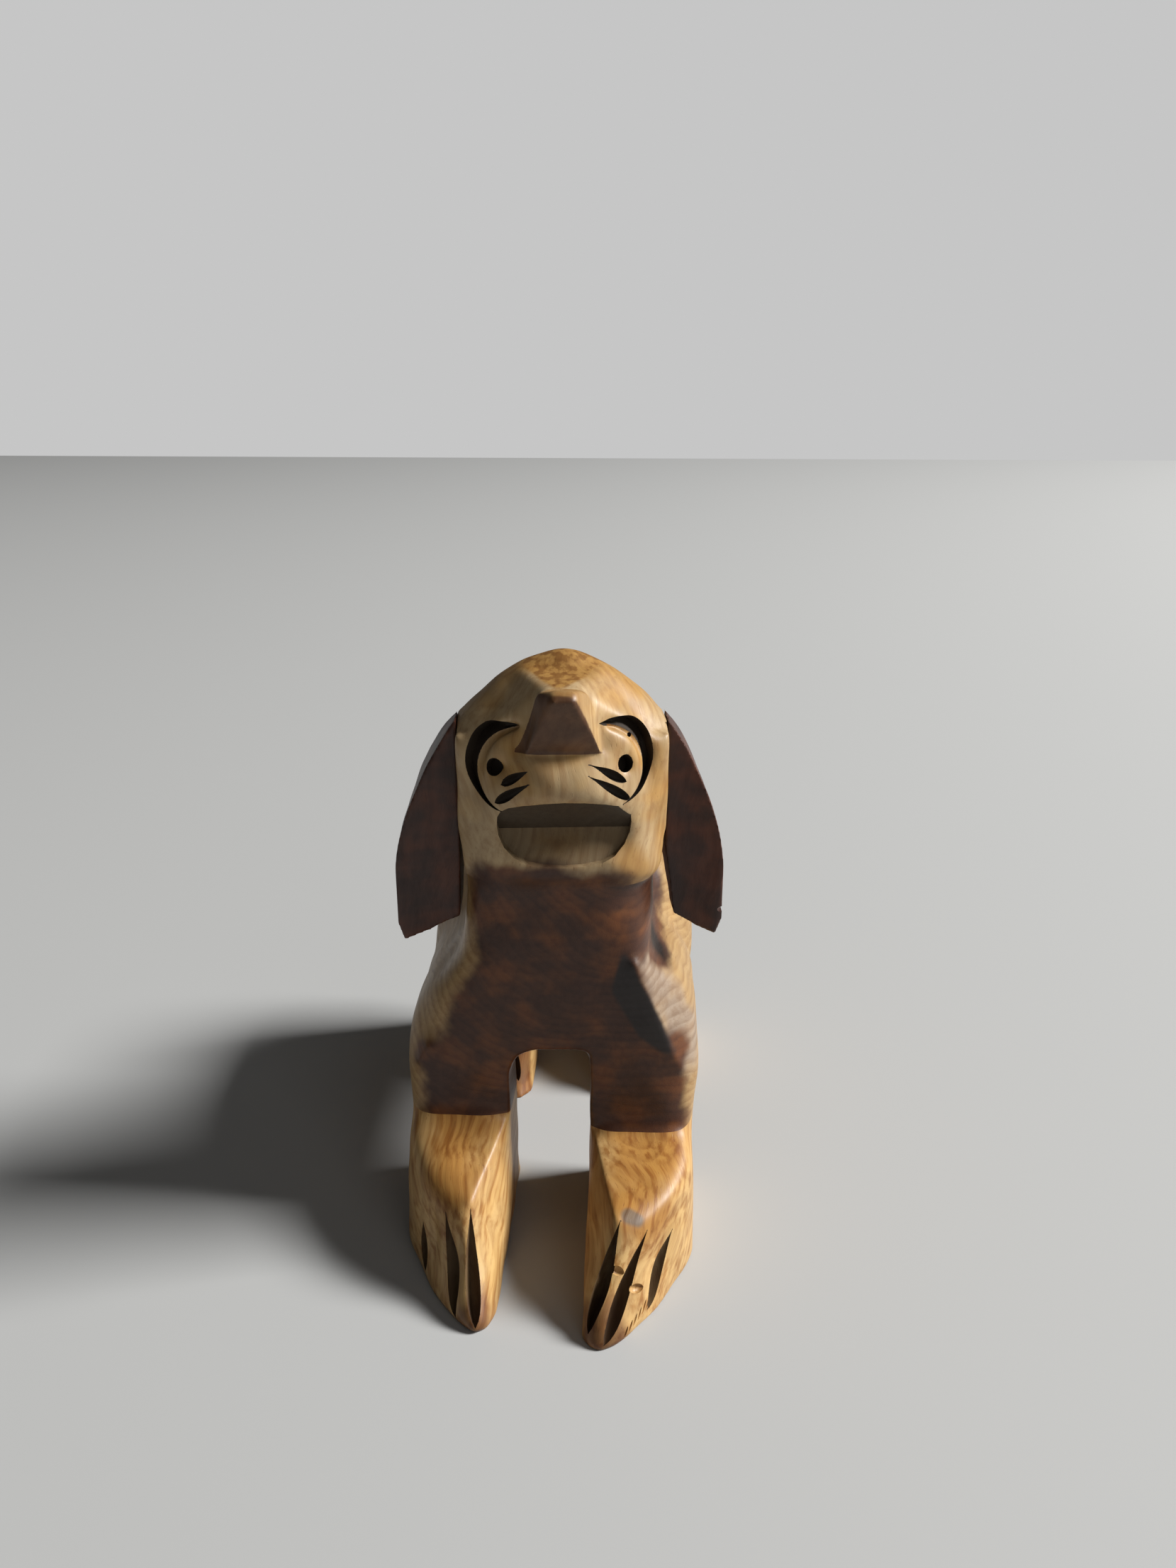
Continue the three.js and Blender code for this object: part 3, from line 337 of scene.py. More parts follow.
def carved_wood_group():
    """Growth rings, fibres, pores, heartwood and stain of the log, and painted shade in the cuts, as colour,
    roughness and height.
    """
    tree = bpy.data.node_groups.new("carved_wood", "ShaderNodeTree")

    def socket(name, kind, value=None, way="INPUT"):
        made = tree.interface.new_socket(name, in_out=way, socket_type="NodeSocket" + kind)
        if value is not None:
            made.default_value = value

    socket("Sapwood", "Color", (0.6, 0.38, 0.17, 1))
    socket("Golden", "Color", (0.45, 0.22, 0.06, 1))
    socket("Heartwood", "Color", (0.07, 0.024, 0.008, 1))
    socket("Amber", "Color", (0.13, 0.046, 0.01, 1))
    socket("Violet", "Color", (0.04, 0.025, 0.022, 1))
    socket("Cut Stain", "Color", (0.02, 0.011, 0.006, 1))
    socket("Pith", "Vector", (0, 0, 0))
    socket("Lean", "Vector", (0, 0, 0))
    socket("Ring Width", "Float", 2.0)
    socket("Ring Depth", "Float", 0.35)
    socket("Streak", "Float", 0.4)
    socket("Fleck", "Float", 0.0)
    socket("Ripple", "Float", 0.0)
    socket("Color", "Color", way="OUTPUT")
    socket("Roughness", "Float", way="OUTPUT")
    socket("Height", "Float", way="OUTPUT")
    late_brown = (0.42, 0.27, 0.14, 1)
    streak_brown = (0.52, 0.34, 0.17, 1)
    pale_figure = (1.0, 0.86, 0.66, 1)
    fibre_brown = (0.62, 0.5, 0.38, 1)
    ripple_brown = (0.62, 0.5, 0.42, 1)
    fleck_brown = (0.34, 0.19, 0.08, 1)
    pore_brown = (0.3, 0.18, 0.1, 1)
    pale_strength = 0.25
    fibre_strength = 0.3
    pore_strength = 0.3
    stain_and_shade_cover = 0.97
    polish = 0.32
    b = Bench(tree)
    given = b.add("NodeGroupInput").outputs
    place = b.add("ShaderNodeTexCoord").outputs["Object"]
    spot = b.add(
        "ShaderNodeMapping",
        {"Vector": place, "Location": given["Pith"], "Rotation": given["Lean"], "Scale": (mm, mm, mm)},
        vector_type="TEXTURE",
    ).outputs[0]

    def noise(vector, scale, detail, stretch=(1, 1, 1)):
        drawn = b.vector("MULTIPLY", vector, stretch)
        node = b.add("ShaderNodeTexNoise", {"Vector": drawn, "Scale": scale, "Detail": detail})
        return node.outputs["Fac"], node.outputs["Color"]

    wander_reach = (14, 14, 14)
    _, wander = noise(spot, scale=0.035, detail=2)
    centred = b.vector("SUBTRACT", wander, (0.5, 0.5, 0.5))
    sway = b.vector("MULTIPLY", centred, wander_reach)
    grown = b.vector("ADD", spot, sway)
    level = b.vector("MULTIPLY", grown, (1, 1, 0))
    radius = b.add("ShaderNodeVectorMath", {0: level}, operation="LENGTH").outputs["Value"]
    year = b.sum("FRACT", b.sum("DIVIDE", radius, given["Ring Width"]))
    not_over = b.sum("SUBTRACT", 1.0, b.soft_step(year, 0.85, 1.0))
    late = b.sum("MULTIPLY", b.soft_step(year, 0.2, 0.85), not_over)
    per_mm = 1000.0
    fibre, _ = noise(grown, scale=1.0, detail=3, stretch=(0.75, 0.75, 0.035))
    fine, _ = noise(grown, scale=1.0, detail=2, stretch=(3.6, 3.6, 0.16))
    broad, _ = noise(spot, scale=0.09, detail=3)
    cloud, _ = noise(place, scale=per_mm, detail=2, stretch=(0.13, 0.03, 0.15))
    pore_noise, _ = noise(grown, scale=1.0, detail=1, stretch=(3.0, 3.0, 0.3))
    pores = b.soft_step(pore_noise, 0.66, 0.76)
    fleck_noise, _ = noise(spot, scale=0.5, detail=5, stretch=(1, 1, 0.6))
    flecks = b.sum("MULTIPLY", b.soft_step(fleck_noise, 0.44, 0.6), given["Fleck"])
    ripple_noise, _ = noise(place, scale=per_mm, detail=2, stretch=(0.05, 0.05, 0.42))

    def patch(name, edge, stray):
        inside = b.add("ShaderNodeAttribute", attribute_name=name).outputs["Fac"]
        rough_edge = b.sum("MULTIPLY", b.sum("SUBTRACT", broad, 0.5), stray)
        streaked = b.sum("MULTIPLY", b.sum("SUBTRACT", cloud, 0.5), stray * 0.5)
        moved = b.sum("ADD", b.sum("ADD", inside, rough_edge), streaked)
        return b.soft_step(moved, -edge, edge)

    heart = patch("heart", edge=1.7, stray=9.0)
    violet = patch("violet", edge=0.6, stray=1.2)
    flecks = b.sum("MULTIPLY", flecks, violet)
    golden = patch("golden", edge=4.0, stray=14.0)
    cut = b.add("ShaderNodeAttribute", attribute_name="cut").outputs["Fac"]
    deep_heart = b.mixed(b.soft_step(cloud, 0.38, 0.64), given["Heartwood"], given["Amber"])
    colour = b.mixed(golden, given["Sapwood"], given["Golden"])
    colour = b.mixed(heart, colour, deep_heart)
    colour = b.mixed(violet, colour, given["Violet"])
    ring_shade = b.sum("MULTIPLY", late, given["Ring Depth"])
    colour = b.mixed(ring_shade, colour, late_brown, "MULTIPLY")
    streak = b.sum("MULTIPLY", b.soft_step(fibre, 0.4, 0.7), given["Streak"])
    colour = b.mixed(streak, colour, streak_brown, "MULTIPLY")
    pale = b.sum("MULTIPLY", b.soft_step(cloud, 0.5, 0.7), pale_strength)
    colour = b.mixed(pale, colour, pale_figure, "SOFT_LIGHT")
    colour = b.mixed(b.sum("MULTIPLY", fine, fibre_strength), colour, fibre_brown, "MULTIPLY")
    heart_ripple = b.sum("MULTIPLY", heart, given["Ripple"])
    ripple = b.sum("MULTIPLY", b.soft_step(ripple_noise, 0.42, 0.62), heart_ripple)
    colour = b.mixed(ripple, colour, ripple_brown, "MULTIPLY")
    colour = b.mixed(flecks, colour, fleck_brown, "MULTIPLY")
    colour = b.mixed(b.sum("MULTIPLY", pores, pore_strength), colour, pore_brown, "MULTIPLY")
    # The cut faces turn to the stain colour: real stain in the cuts, and painted shade in their hollows.
    colour = b.mixed(b.sum("MULTIPLY", cut, stain_and_shade_cover), colour, given["Cut Stain"])
    rough = b.sum("ADD", b.sum("MULTIPLY", fine, 0.16), polish)
    rough = b.sum("ADD", rough, b.sum("MULTIPLY", fibre, 0.1))
    rough = b.sum("ADD", rough, b.sum("MULTIPLY", cut, 0.25))
    height = b.sum("ADD", b.sum("MULTIPLY", fine, 0.3), b.sum("MULTIPLY", fibre, 0.5))
    height = b.sum("ADD", height, b.sum("MULTIPLY", late, 0.12))
    height = b.sum("SUBTRACT", height, b.sum("MULTIPLY", pores, 0.4))
    b.add("NodeGroupOutput", {"Color": colour, "Roughness": rough, "Height": height})
    return tree


carved_wood = carved_wood_group()


def wood(name, bump=0.2, coat=0.06, **values):
    """A polished wood for one kind of piece, with its own place in the log."""
    relief_depth = 0.35 * mm
    finish = bpy.data.materials.new(name)
    finish.use_nodes = True
    b = Bench(finish.node_tree)
    figure = b.add("ShaderNodeGroup", node_tree=carved_wood)
    for key, value in values.items():
        figure.inputs[key.replace("_", " ").title()].default_value = value
    relief = b.add(
        "ShaderNodeBump", {"Strength": bump, "Distance": relief_depth, "Height": figure.outputs["Height"]}
    )
    shader = finish.node_tree.nodes["Principled BSDF"]
    b.tree.links.new(figure.outputs["Color"], shader.inputs["Base Color"])
    b.tree.links.new(figure.outputs["Roughness"], shader.inputs["Roughness"])
    b.tree.links.new(relief.outputs[0], shader.inputs["Normal"])
    shader.inputs["Specular IOR Level"].default_value = 0.4
    shader.inputs["Coat Weight"].default_value = coat
    shader.inputs["Coat Roughness"].default_value = 0.3
    return finish


ridge_steps = 60
ridge_start = 0.5 * mm
ridge_end = 6.5 * mm
knuckle_height = 20 * mm
knuckle_setback = 15 * mm


def paw_ridge(node, inner_side, wrist):
    """The crisp edge between the top of a forepaw and the bevel on its inner side."""
    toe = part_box(node)[0].y
    out = 1 if inner_side > middle else -1
    start = Vector((inner_side + out * ridge_start, chest, wrist))
    end = Vector((inner_side + out * ridge_end, toe + knuckle_setback, knuckle_height))
    return [start.lerp(end, i / ridge_steps) for i in range(ridge_steps + 1)]


head_turn = math.radians(5)
head_shift = 1.9 * mm
head_half = 22 * mm
head_place = (
    Matrix.Translation((middle, chest + neck_axis, neck_seam))
    @ Matrix.Rotation(head_turn, 4, "Z")
    @ Matrix.Translation((head_shift, -neck_axis, 0))
)


def in_head(spots):
    """Points as seen from the head: across, back from the chest and above the seam, in millimetres."""
    return (np.c_[spots, np.ones(len(spots))] @ np.array(head_place.inverted()).T)[:, :3] / mm


left_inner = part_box("left_forepaw")[0].x
right_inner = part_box("right_forepaw")[1].x
left_wrist = 25.3 * mm
right_wrist = 28.3 * mm
hind_wrist = 24.15 * mm
edge_margin = 1 * mm
bevel_back = chest + 4 * mm
bevel_top = 62 * mm
nose_edge_top = 121 * mm
sole_edge = 1.2 * mm


def on_left_bevel(p):
    return p.x > middle and p.y < bevel_back and p.z < bevel_top


def on_right_arch(p):
    return p.x < middle and p.y < chest + edge_margin and p.z < belly + edge_margin


def on_head_side(p):
    return abs((head_place.inverted() @ p).x) > head_half - edge_margin


crisp_edges = knife_edges("body", on_left_bevel)
crisp_edges += knife_edges("body", on_right_arch)
crisp_edges += knife_edges("nose", lambda p: p.z < nose_edge_top)
crisp_edges += knife_edges("head", on_head_side, glue_line=0)
crisp_edges += paw_ridge("left_forepaw", left_inner, left_wrist)
crisp_edges += paw_ridge("right_forepaw", right_inner, right_wrist)
for paw in ("left_forepaw", "right_forepaw", "left_hind_paw", "right_hind_paw"):
    crisp_edges += knife_edges(paw, lambda p: p.z < sole_edge)

one_log = [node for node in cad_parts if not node.endswith("ear")]
dog_skin = glued_up(one_log, glue_overlap)
skin_spots = places(dog_skin)

neck_foot = 60 * mm
neck_foot_blend = 12 * mm
neck_top = 84 * mm
neck_top_blend = 9 * mm
neck_swell = 3 * mm
neck_swell_blend = 18 * mm
above_foot = rising(skin_spots[:, 2], neck_foot, neck_foot_blend)
above_top = rising(skin_spots[:, 2], neck_top, neck_top_blend)
left_share = rising(skin_spots[:, 0], middle, neck_swell_blend)
skin_spots[:, 0] += above_foot * (1 - above_top) * neck_swell * left_share

nose_zone_half = 9.4
nose_zone_back = 1.2
nose_zone_foot = 29
nose_foot = 29.7
nose_height = 12.2
nose_root = 1
nose_length = 6
foot_spread = 0.2
top_pinch = 0.34
tip_setback = 2.8
tip_lift = 1.2
tip_curve = 1.5
head_spots = in_head(skin_spots)
across, back, rise = head_spots.T
on_nose = (np.abs(across) < nose_zone_half) & (back < nose_zone_back) & (rise > nose_zone_foot)
up_nose = np.clip((rise - nose_foot) / nose_height, 0, 1)
down_nose = on_nose * np.clip((nose_root - back) / nose_length, 0, 1)
across += down_nose * across * (foot_spread - top_pinch * up_nose)
back += down_nose * up_nose**tip_curve * tip_setback
rise += down_nose * up_nose * tip_lift
skin_spots = (np.c_[head_spots * mm, np.ones(len(head_spots))] @ np.array(head_place).T)[:, :3]

toes_from = 46 * mm
toes_blend = 18 * mm
toes_top = 30 * mm
left_toe_reach = 2 * mm
right_toe_reach = 3.8 * mm
toe_share = rising(-skin_spots[:, 1], toes_from, toes_blend) * (skin_spots[:, 2] < toes_top)
skin_spots[:, 1] -= toe_share * np.where(skin_spots[:, 0] > middle, left_toe_reach, right_toe_reach)
dog_skin.vertices.foreach_set("co", skin_spots.ravel())

brow = 106 * mm
brow_blend = 10 * mm
brow_spared = 0.8
nose_spared = 0.75
sanding_rounds = 70
edge_distance = away_from(crisp_edges, skin_spots)
sanding = sanding_by(edge_distance)
sanding *= 1 - brow_spared * rising(skin_spots[:, 2], brow, brow_blend)
sanding *= 1 - nose_spared * near_zone(skin_spots, centre=(2, -30, 120), reach=(14, 14, 13))
dog_skin = rubbed(dog_skin, sanding, sanding_rounds)

soft_creases = [
    ((0, -12, 83), (34, 32, 13)),
    ((-17, -18, 62), (16, 16, 13)),
    ((16, -14, 62), (14, 12, 12)),
    ((0, -27, 61), (22, 8, 9)),
    ((-1, 12, 80), (26, 22, 14)),
    ((-22, 44, 24), (16, 26, 6)),
    ((20, 44, 24), (16, 26, 6)),
    ((-1, 50, 70), (34, 24, 18)),
]
crease_clear = 0.8 * mm
crease_blend = 2.5 * mm
blending_rounds = 700
skin_waver = 0.12 * mm
skin_spots = places(dog_skin)
blending = np.zeros(len(skin_spots))
for centre, reach in soft_creases:
    blending = np.maximum(blending, near_zone(skin_spots, centre, reach))
blending *= rising(edge_distance, crease_clear, crease_blend)
dog_skin = rubbed(dog_skin, blending, blending_rounds)
wavered(dog_skin, skin_waver, seed=7)

far = 0.2
forepaw_back = chest + 26 * mm
hind_paw_front = 10 * mm
tail_root = rump + 0.5 * mm
tail_room = 0.6 * mm
tail_foot_room = 1 * mm
tail_low, tail_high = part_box("tail")
tail_start = (tail_low.x - tail_room, tail_root, tail_low.z - tail_foot_room)
below_neck = cell((-far, -far, 0), (far, far, neck_seam))
above_neck = cell((-far, -far, neck_seam), (far, far, far))
left_paw_cell = cell((middle, -far, 0), (far, forepaw_back, left_wrist))
right_paw_cell = cell((-far, -far, 0), (middle, forepaw_back, right_wrist))
left_hind_cell = cell((middle, hind_paw_front, 0), (far, far, hind_wrist))
right_hind_cell = cell((-far, hind_paw_front, 0), (middle, far, hind_wrist))
tail_cell = cell(tail_start, (tail_high.x + tail_room, far, tail_high.z))
lower_dog = sawn(dog_skin.copy(), [below_neck])
upper_dog = sawn(dog_skin, [above_neck])

trunk_heart = [
    ((-0.5, -27, 92), (-0.5, -27, 78), 20, 19.5),
    ((-0.5, -27, 78), (0, -27, 66), 19.5, 17.5),
    ((0, -27, 66), (-1, -27, 40), 17.5, 27),
    # The five strokes from here on make the neck and shoulder on the dog's left dark, beneath its ear.
    ((12, -19, 92), (13, -19, 74), 15, 10.5),
    ((20, -2, 92), (22, -4, 77), 15, 9.5),
    ((18, 13, 68), (20.5, -15, 64), 6.5, 5.5),
    ((6, 20, 82), (17, 8, 71), 14, 10),
    ((8, 30, 80), (17, 14, 69), 12, 7),
    ((17, -25, 42), (16.5, -25, 16), 11.5, 11),
    ((-22, -25, 40), (-22.5, -25, 20), 9, 8),
    ((-1, 14, 84), (-1, 50, 74), 15, 12),
    ((-14, 22, 38), (-15, 24, 20), 8, 8),
    ((11, 22, 38), (12, 24, 20), 8, 8),
]
trunk_violet = [
    ((14.8, -26.4, 67.5), (15.2, -26.4, 60.5), 1.2, 3.3),
    ((15.2, -26.4, 60.5), (20.3, -26.2, 51), 3.3, 3.2),
    ((20.3, -26.2, 51), (24.8, -25, 44.4), 3.2, 1.2),
]
trunk_golden = [((21, -25, 73), (29, -22, 46), 7, 8)]
carved_body = sawn(
    lower_dog.copy(),
    outside=[left_paw_cell, right_paw_cell, left_hind_cell, right_hind_cell, tail_cell],
)
body_triangles = 190000
carved_body = thinned(swept(carved_body), body_triangles)
figured(carved_body, heart=trunk_heart, violet=trunk_violet, golden=trunk_golden)
body_wood = wood(
    "body_wood",
    sapwood=(0.42, 0.27, 0.115, 1),
    golden=(0.34, 0.26, 0.19, 1),
    heartwood=(0.062, 0.021, 0.008, 1),
    amber=(0.125, 0.042, 0.01, 1),
    violet=(0.018, 0.012, 0.011, 1),
    pith=(0.014, 0, 0.088),
    lean=(1.4, 0.08, 0),
    ring_width=2.2,
    ring_depth=0.3,
    streak=0.35,
    ripple=0.3,
)
fixed(carved_body, "carved_body", "body", body_wood)

# Forepaws: two paws of pale sapwood, each pegged up into its leg, with a bevel along its inner side.
# Three gouge cuts divide the toes of each paw, and dark stain and painted shade are left in them.


def gouge_tree():
    """A leaf-shaped cut along a line, for the toes and the whiskers."""
    points_along = 19
    points_round = 16
    blunt = 0.7
    thinnest = 0.03
    tree = bpy.data.node_groups.new("gouge_cut", "GeometryNodeTree")
    tree.is_modifier = True
    for name, kind, value in (
        ("Line", "Geometry", None),
        ("Width", "Float", 3 * mm),
        ("Depth", "Float", 3 * mm),
        ("Fullness", "Float", 1.0),
        ("Stain", "Material", None),
    ):
        socket = tree.interface.new_socket(name, in_out="INPUT", socket_type="NodeSocket" + kind)
        if value is not None:
            socket.default_value = value
    tree.interface.new_socket("Cutter", in_out="OUTPUT", socket_type="NodeSocketGeometry")
    b = Bench(tree)
    given = b.add("NodeGroupInput").outputs
    line = b.add("GeometryNodeMeshToCurve", {"Mesh": given["Line"]}).outputs[0]
    line = b.add("GeometryNodeResampleCurve", {"Curve": line, "Count": points_along}).outputs[0]
    facing = b.add("GeometryNodeInputNamedAttribute", {"Name": "facing"}, data_type="FLOAT_VECTOR")
    line = b.add(
        "GeometryNodeSetCurveNormal", {"Curve": line, "Normal": facing.outputs["Attribute"]}, mode="FREE"
    ).outputs[0]
    along = b.add("GeometryNodeSplineParameter").outputs["Factor"]
    share = b.sum("POWER", along, given["Fullness"])
    bow = b.sum("MULTIPLY", b.sum("MULTIPLY", share, b.sum("SUBTRACT", 1.0, share)), 4.0)
    leaf = b.sum("MAXIMUM", b.sum("POWER", bow, blunt), thinnest)
    half = b.sum("MULTIPLY", given["Width"], 0.5)
    size = b.add("ShaderNodeCombineXYZ", {"X": given["Depth"], "Y": half, "Z": 1.0}).outputs[0]
    circle = b.add("GeometryNodeCurvePrimitiveCircle", {"Resolution": points_round, "Radius": 1.0})
    ring = circle.outputs["Curve"]
    ring = b.add("GeometryNodeTransform", {"Geometry": ring, "Scale": size}).outputs[0]
    shape = b.add(
        "GeometryNodeCurveToMesh", {"Curve": line, "Profile Curve": ring, "Scale": leaf, "Fill Caps": True}
    ).outputs[0]
    shape = b.add("GeometryNodeRealizeInstances", {"Geometry": shape}).outputs[0]
    shape = b.add("GeometryNodeSetMaterial", {"Geometry": shape, "Material": given["Stain"]}).outputs[0]
    b.add("NodeGroupOutput", {"Cutter": shape})
    return tree


gouge_cut = gouge_tree()
gouge_sockets = gouge_cut.interface.items_tree
gouge_input = {item.name: item.identifier for item in gouge_sockets if item.in_out == "INPUT"}


def gouge(start, end, facing, width, depth, fullness=1.0):
    """A cutter from one surface point to another, in metres, set square to the way it faces."""
    line = bpy.data.meshes.new("gouge")
    line.from_pydata([start, end], [(0, 1)], [])
    along = (Vector(end) - Vector(start)).normalized()
    out = (Vector(facing) - along * along.dot(Vector(facing))).normalized()
    ways = line.attributes.new("facing", "FLOAT_VECTOR", "POINT")
    ways.data.foreach_set("vector", [*out, *out])
    thing = linked("gouge", line)
    tool = thing.modifiers.new("gouge", "NODES")
    tool.node_group = gouge_cut
    tool[gouge_input["Width"]] = width
    tool[gouge_input["Depth"]] = depth
    tool[gouge_input["Fullness"]] = fullness
    tool[gouge_input["Stain"]] = body_wood
    return linked("gouge", worked(thing))


def stained_and_shaded(mesh, cutters, strength=1, shade_under=1, reach=0.02 * mm):
    """Marks the faces that a knife cut, which hold dark stain and painted shade, the painted shade deepest
    where they look down.
    """
    values = mesh.attributes.get("cut") or mesh.attributes.new("cut", "FLOAT", "FACE")
    marks = np.zeros(len(mesh.polygons), np.float32)
    values.data.foreach_get("value", marks)
    trees = []
    for cutter in cutters:
        shape = bmesh.new()
        shape.from_mesh(cutter.data)
        trees.append(BVHTree.FromBMesh(shape))
        shape.free()
    for i, face in enumerate(mesh.polygons):
        if any(tree.find_nearest(face.center, reach)[0] for tree in trees):
            marks[i] = shade_under if face.normal.z < 0 else strength
    values.data.foreach_set("value", marks)


def removed(things):
    """Clears away tools that have done their work."""
    for thing in things:
        bpy.data.objects.remove(thing)


def toe_cuts(mesh, inner_side, cuts, width, depth, fullness=1.55):
    """Gouges on a paw. Each cut gives its upper and lower end, outward of the inner side and up."""
    shape = bmesh.new()
    shape.from_mesh(mesh)
    tree = BVHTree.FromBMesh(shape)
    shape.free()
    out = 1 if inner_side > middle else -1
    toward = Vector((0, 1, 0))

    def on_paw(across, up):
        return tree.ray_cast(Vector((inner_side + out * across * mm, -far, up * mm)), toward)[:2]

    tools = []
    for high, high_z, low, low_z in cuts:
        top, top_way = on_paw(high, high_z)
        foot, foot_way = on_paw(low, low_z)
        tools.append(gouge(top, foot, top_way + foot_way, width, depth, fullness))
    return tools


paw_wood = wood(
    "paw_wood",
    coat=0.02,
    sapwood=(0.58, 0.375, 0.155, 1),
    golden=(0.44, 0.22, 0.055, 1),
    heartwood=(0.2, 0.1, 0.036, 1),
    amber=(0.26, 0.12, 0.04, 1),
    violet=(0.2, 0.14, 0.09, 1),
    cut_stain=(0.05, 0.026, 0.011, 1),
    pith=(0.02, -0.04, 0.012),
    lean=(2.08, 0.05, 0.05),
    ring_width=2.1,
    ring_depth=0.25,
    streak=0.8,
)
toe_cut_width = 3.3 * mm
toe_cut_depth = 3.4 * mm
left_toe_cuts = [(7.4, 19.8, 1.3, 2.2), (13, 17.2, 4.6, 1.2), (18.4, 12.8, 13.4, 2.4)]
right_toe_cuts = [(6.3, 19, 3.8, 1.4), (11.8, 17.4, 8.2, 1), (17.6, 11.2, 16.9, 1.4)]
left_chips = [(5.6, 12.6, 8.4, 11.4), (9.4, 8.2, 12.4, 7.2)]
chip_width = 2 * mm
chip_depth = 0.8 * mm
nick_count = 7
comb_nicks = [
    (9.4 + 0.9 * i, 2.6 + 0.5 * i, 8.6 + 0.9 * i, 0.9 + 0.4 * i) for i in range(nick_count)
]
nick_width = 0.5 * mm
nick_depth = 0.4 * mm
# The toe cuts are darkened with stain and painted shade, most on the walls that look down.
toe_stain_and_shade = 0.88
toe_shade_under = 0.95
left_tip = [((11, -66, 1), (11, -60, 4), 6, 4)]
right_tip = [((-14.5, -66, 1), (-14.5, -60, 4), 6, 4)]
left_golden = [((20, -27, 24), (18, -46, 18), 8, 7)]
right_golden = [((-22, -27, 27), (-22, -44, 20), 8, 6)]
grey_knot = [((16.5, -49.5, 20), (18.5, -50, 19.5), 1.6, 1.2)]
for node, inner_side, box, cuts, tip, golden in (
    ("left_forepaw", left_inner, left_paw_cell, left_toe_cuts, left_tip, left_golden),
    ("right_forepaw", right_inner, right_paw_cell, right_toe_cuts, right_tip, right_golden),
):
    paw_mesh = sawn(lower_dog.copy(), [box])
    tools = toe_cuts(paw_mesh, inner_side, cuts, toe_cut_width, toe_cut_depth)
    chips = []
    if node == "left_forepaw":
        chips = toe_cuts(paw_mesh, inner_side, left_chips, chip_width, chip_depth, fullness=1)
        chips += toe_cuts(paw_mesh, inner_side, comb_nicks, nick_width, nick_depth, fullness=1)
    paw_mesh = sawn(paw_mesh, outside=tools + chips)
    figured(paw_mesh, heart=tip, violet=grey_knot, golden=golden)
    stained_and_shaded(paw_mesh, tools, toe_stain_and_shade, toe_shade_under)
    removed(tools + chips)
    fixed(paw_mesh, "carved_" + node, node, paw_wood)

# Hind paws: two paws of the same sapwood, shorter than the forepaws, pegged up into the hind legs.
# They are hardly seen from in front, so their cuts follow those of the forepaws.

nowhere = [((0, 0, -60), (0, 0, -61), 0.1, 0.1)]
hind_toe_cuts = [(7.4, 17, 3.6, 3.8), (12.6, 17, 8, 3.6), (17.6, 16, 14, 5.6)]
# The brown on the front of each hind paw is painted shade, where the paws stand in the dark behind the
# forelegs.
left_hind_shade_front = [((14, 17, 2), (14, 24, 22), 9, 9)]
right_hind_shade_front = [((-17, 17, 2), (-17, 24, 22), 9, 9)]
left_hind_golden = [((20, 40, 24), (20, 28, 18), 7, 6)]
right_hind_golden = [((-22, 40, 24), (-22, 28, 18), 7, 6)]
for node, inner_side, box, heart, golden in (
    ("left_hind_paw", left_inner, left_hind_cell, left_hind_shade_front, left_hind_golden),
    ("right_hind_paw", right_inner, right_hind_cell, right_hind_shade_front, right_hind_golden),
):
    paw_mesh = sawn(lower_dog.copy(), [box])
    tools = toe_cuts(paw_mesh, inner_side, hind_toe_cuts, toe_cut_width, toe_cut_depth)
    paw_mesh = sawn(paw_mesh, outside=tools)
    figured(paw_mesh, heart=heart, violet=nowhere, golden=golden)
    stained_and_shaded(paw_mesh, tools, toe_stain_and_shade, toe_shade_under)
    removed(tools)
    fixed(paw_mesh, "carved_" + node, node, paw_wood)

# Tail: a short tail of golden wood that lies down the rump and is held by a peg.
# It can't be seen from in front, so its shape and its colour are guessed.

tail_wood = wood(
    "tail_wood",
    sapwood=(0.45, 0.26, 0.1, 1),
    golden=(0.36, 0.16, 0.04, 1),
    heartwood=(0.14, 0.05, 0.02, 1),
    pith=(0.0, 0.03, 0.03),
    lean=(0.3, 0, 0),
    ring_width=1.8,
    ring_depth=0.25,
)
carved_tail = swept(sawn(lower_dog, [tail_cell]))
figured(
    carved_tail,
    heart=[((-1.6, 66, 72), (-1.6, 66, 62), 3.2, 2)],
    violet=nowhere,
    golden=[((-1.6, 64, 60), (-1.6, 66, 44), 6, 4)],
)
fixed(carved_tail, "carved_tail", "tail", tail_wood)

# Head: a block of golden to pale wood that drops over a tenon on the neck and looks to the dog's left.
# Eyes, mouth and whiskers are cut with gouges and knives after the sanding, so their edges stay crisp.

clear_of_face = 5
nose_rise = 29.55
nose_back = 0.85
nose_foot_half = 9.8
nose_top_half = 6.4
nose_top = nose_rise + 16
nose_ahead = 40


def prism(outline, low, high, place):
    """A cutter with a flat outline, in millimetres, that reaches from one height to another."""
    shape = bmesh.new()
    foot = [shape.verts.new((x * mm, y * mm, low * mm)) for x, y in outline]
    top = [shape.verts.new((x * mm, y * mm, high * mm)) for x, y in outline]
    count = len(outline)
    shape.faces.new(foot[::-1])
    shape.faces.new(top)
    for i in range(count):
        j = (i + 1) % count
        shape.faces.new((foot[i], foot[j], top[j], top[i]))
    bmesh.ops.transform(shape, matrix=place, verts=shape.verts)
    bmesh.ops.recalc_face_normals(shape, faces=shape.faces)
    bmesh.ops.triangulate(shape, faces=shape.faces)
    mesh = bpy.data.meshes.new("cutter")
    shape.to_mesh(mesh)
    shape.free()
    return linked("cutter", mesh)


head_shape = bmesh.new()
head_shape.from_mesh(upper_dog)
head_tree = BVHTree.FromBMesh(head_shape)
head_shape.free()
into_face = head_place.to_3x3() @ Vector((0, 1, 0))


def on_face(across, rise):
    """The point of the face at a place across and above the neck seam, in millimetres."""
    well_ahead = -60
    start = head_place @ (Vector((across, well_ahead, rise)) * mm)
    return head_tree.ray_cast(start, into_face)[0]


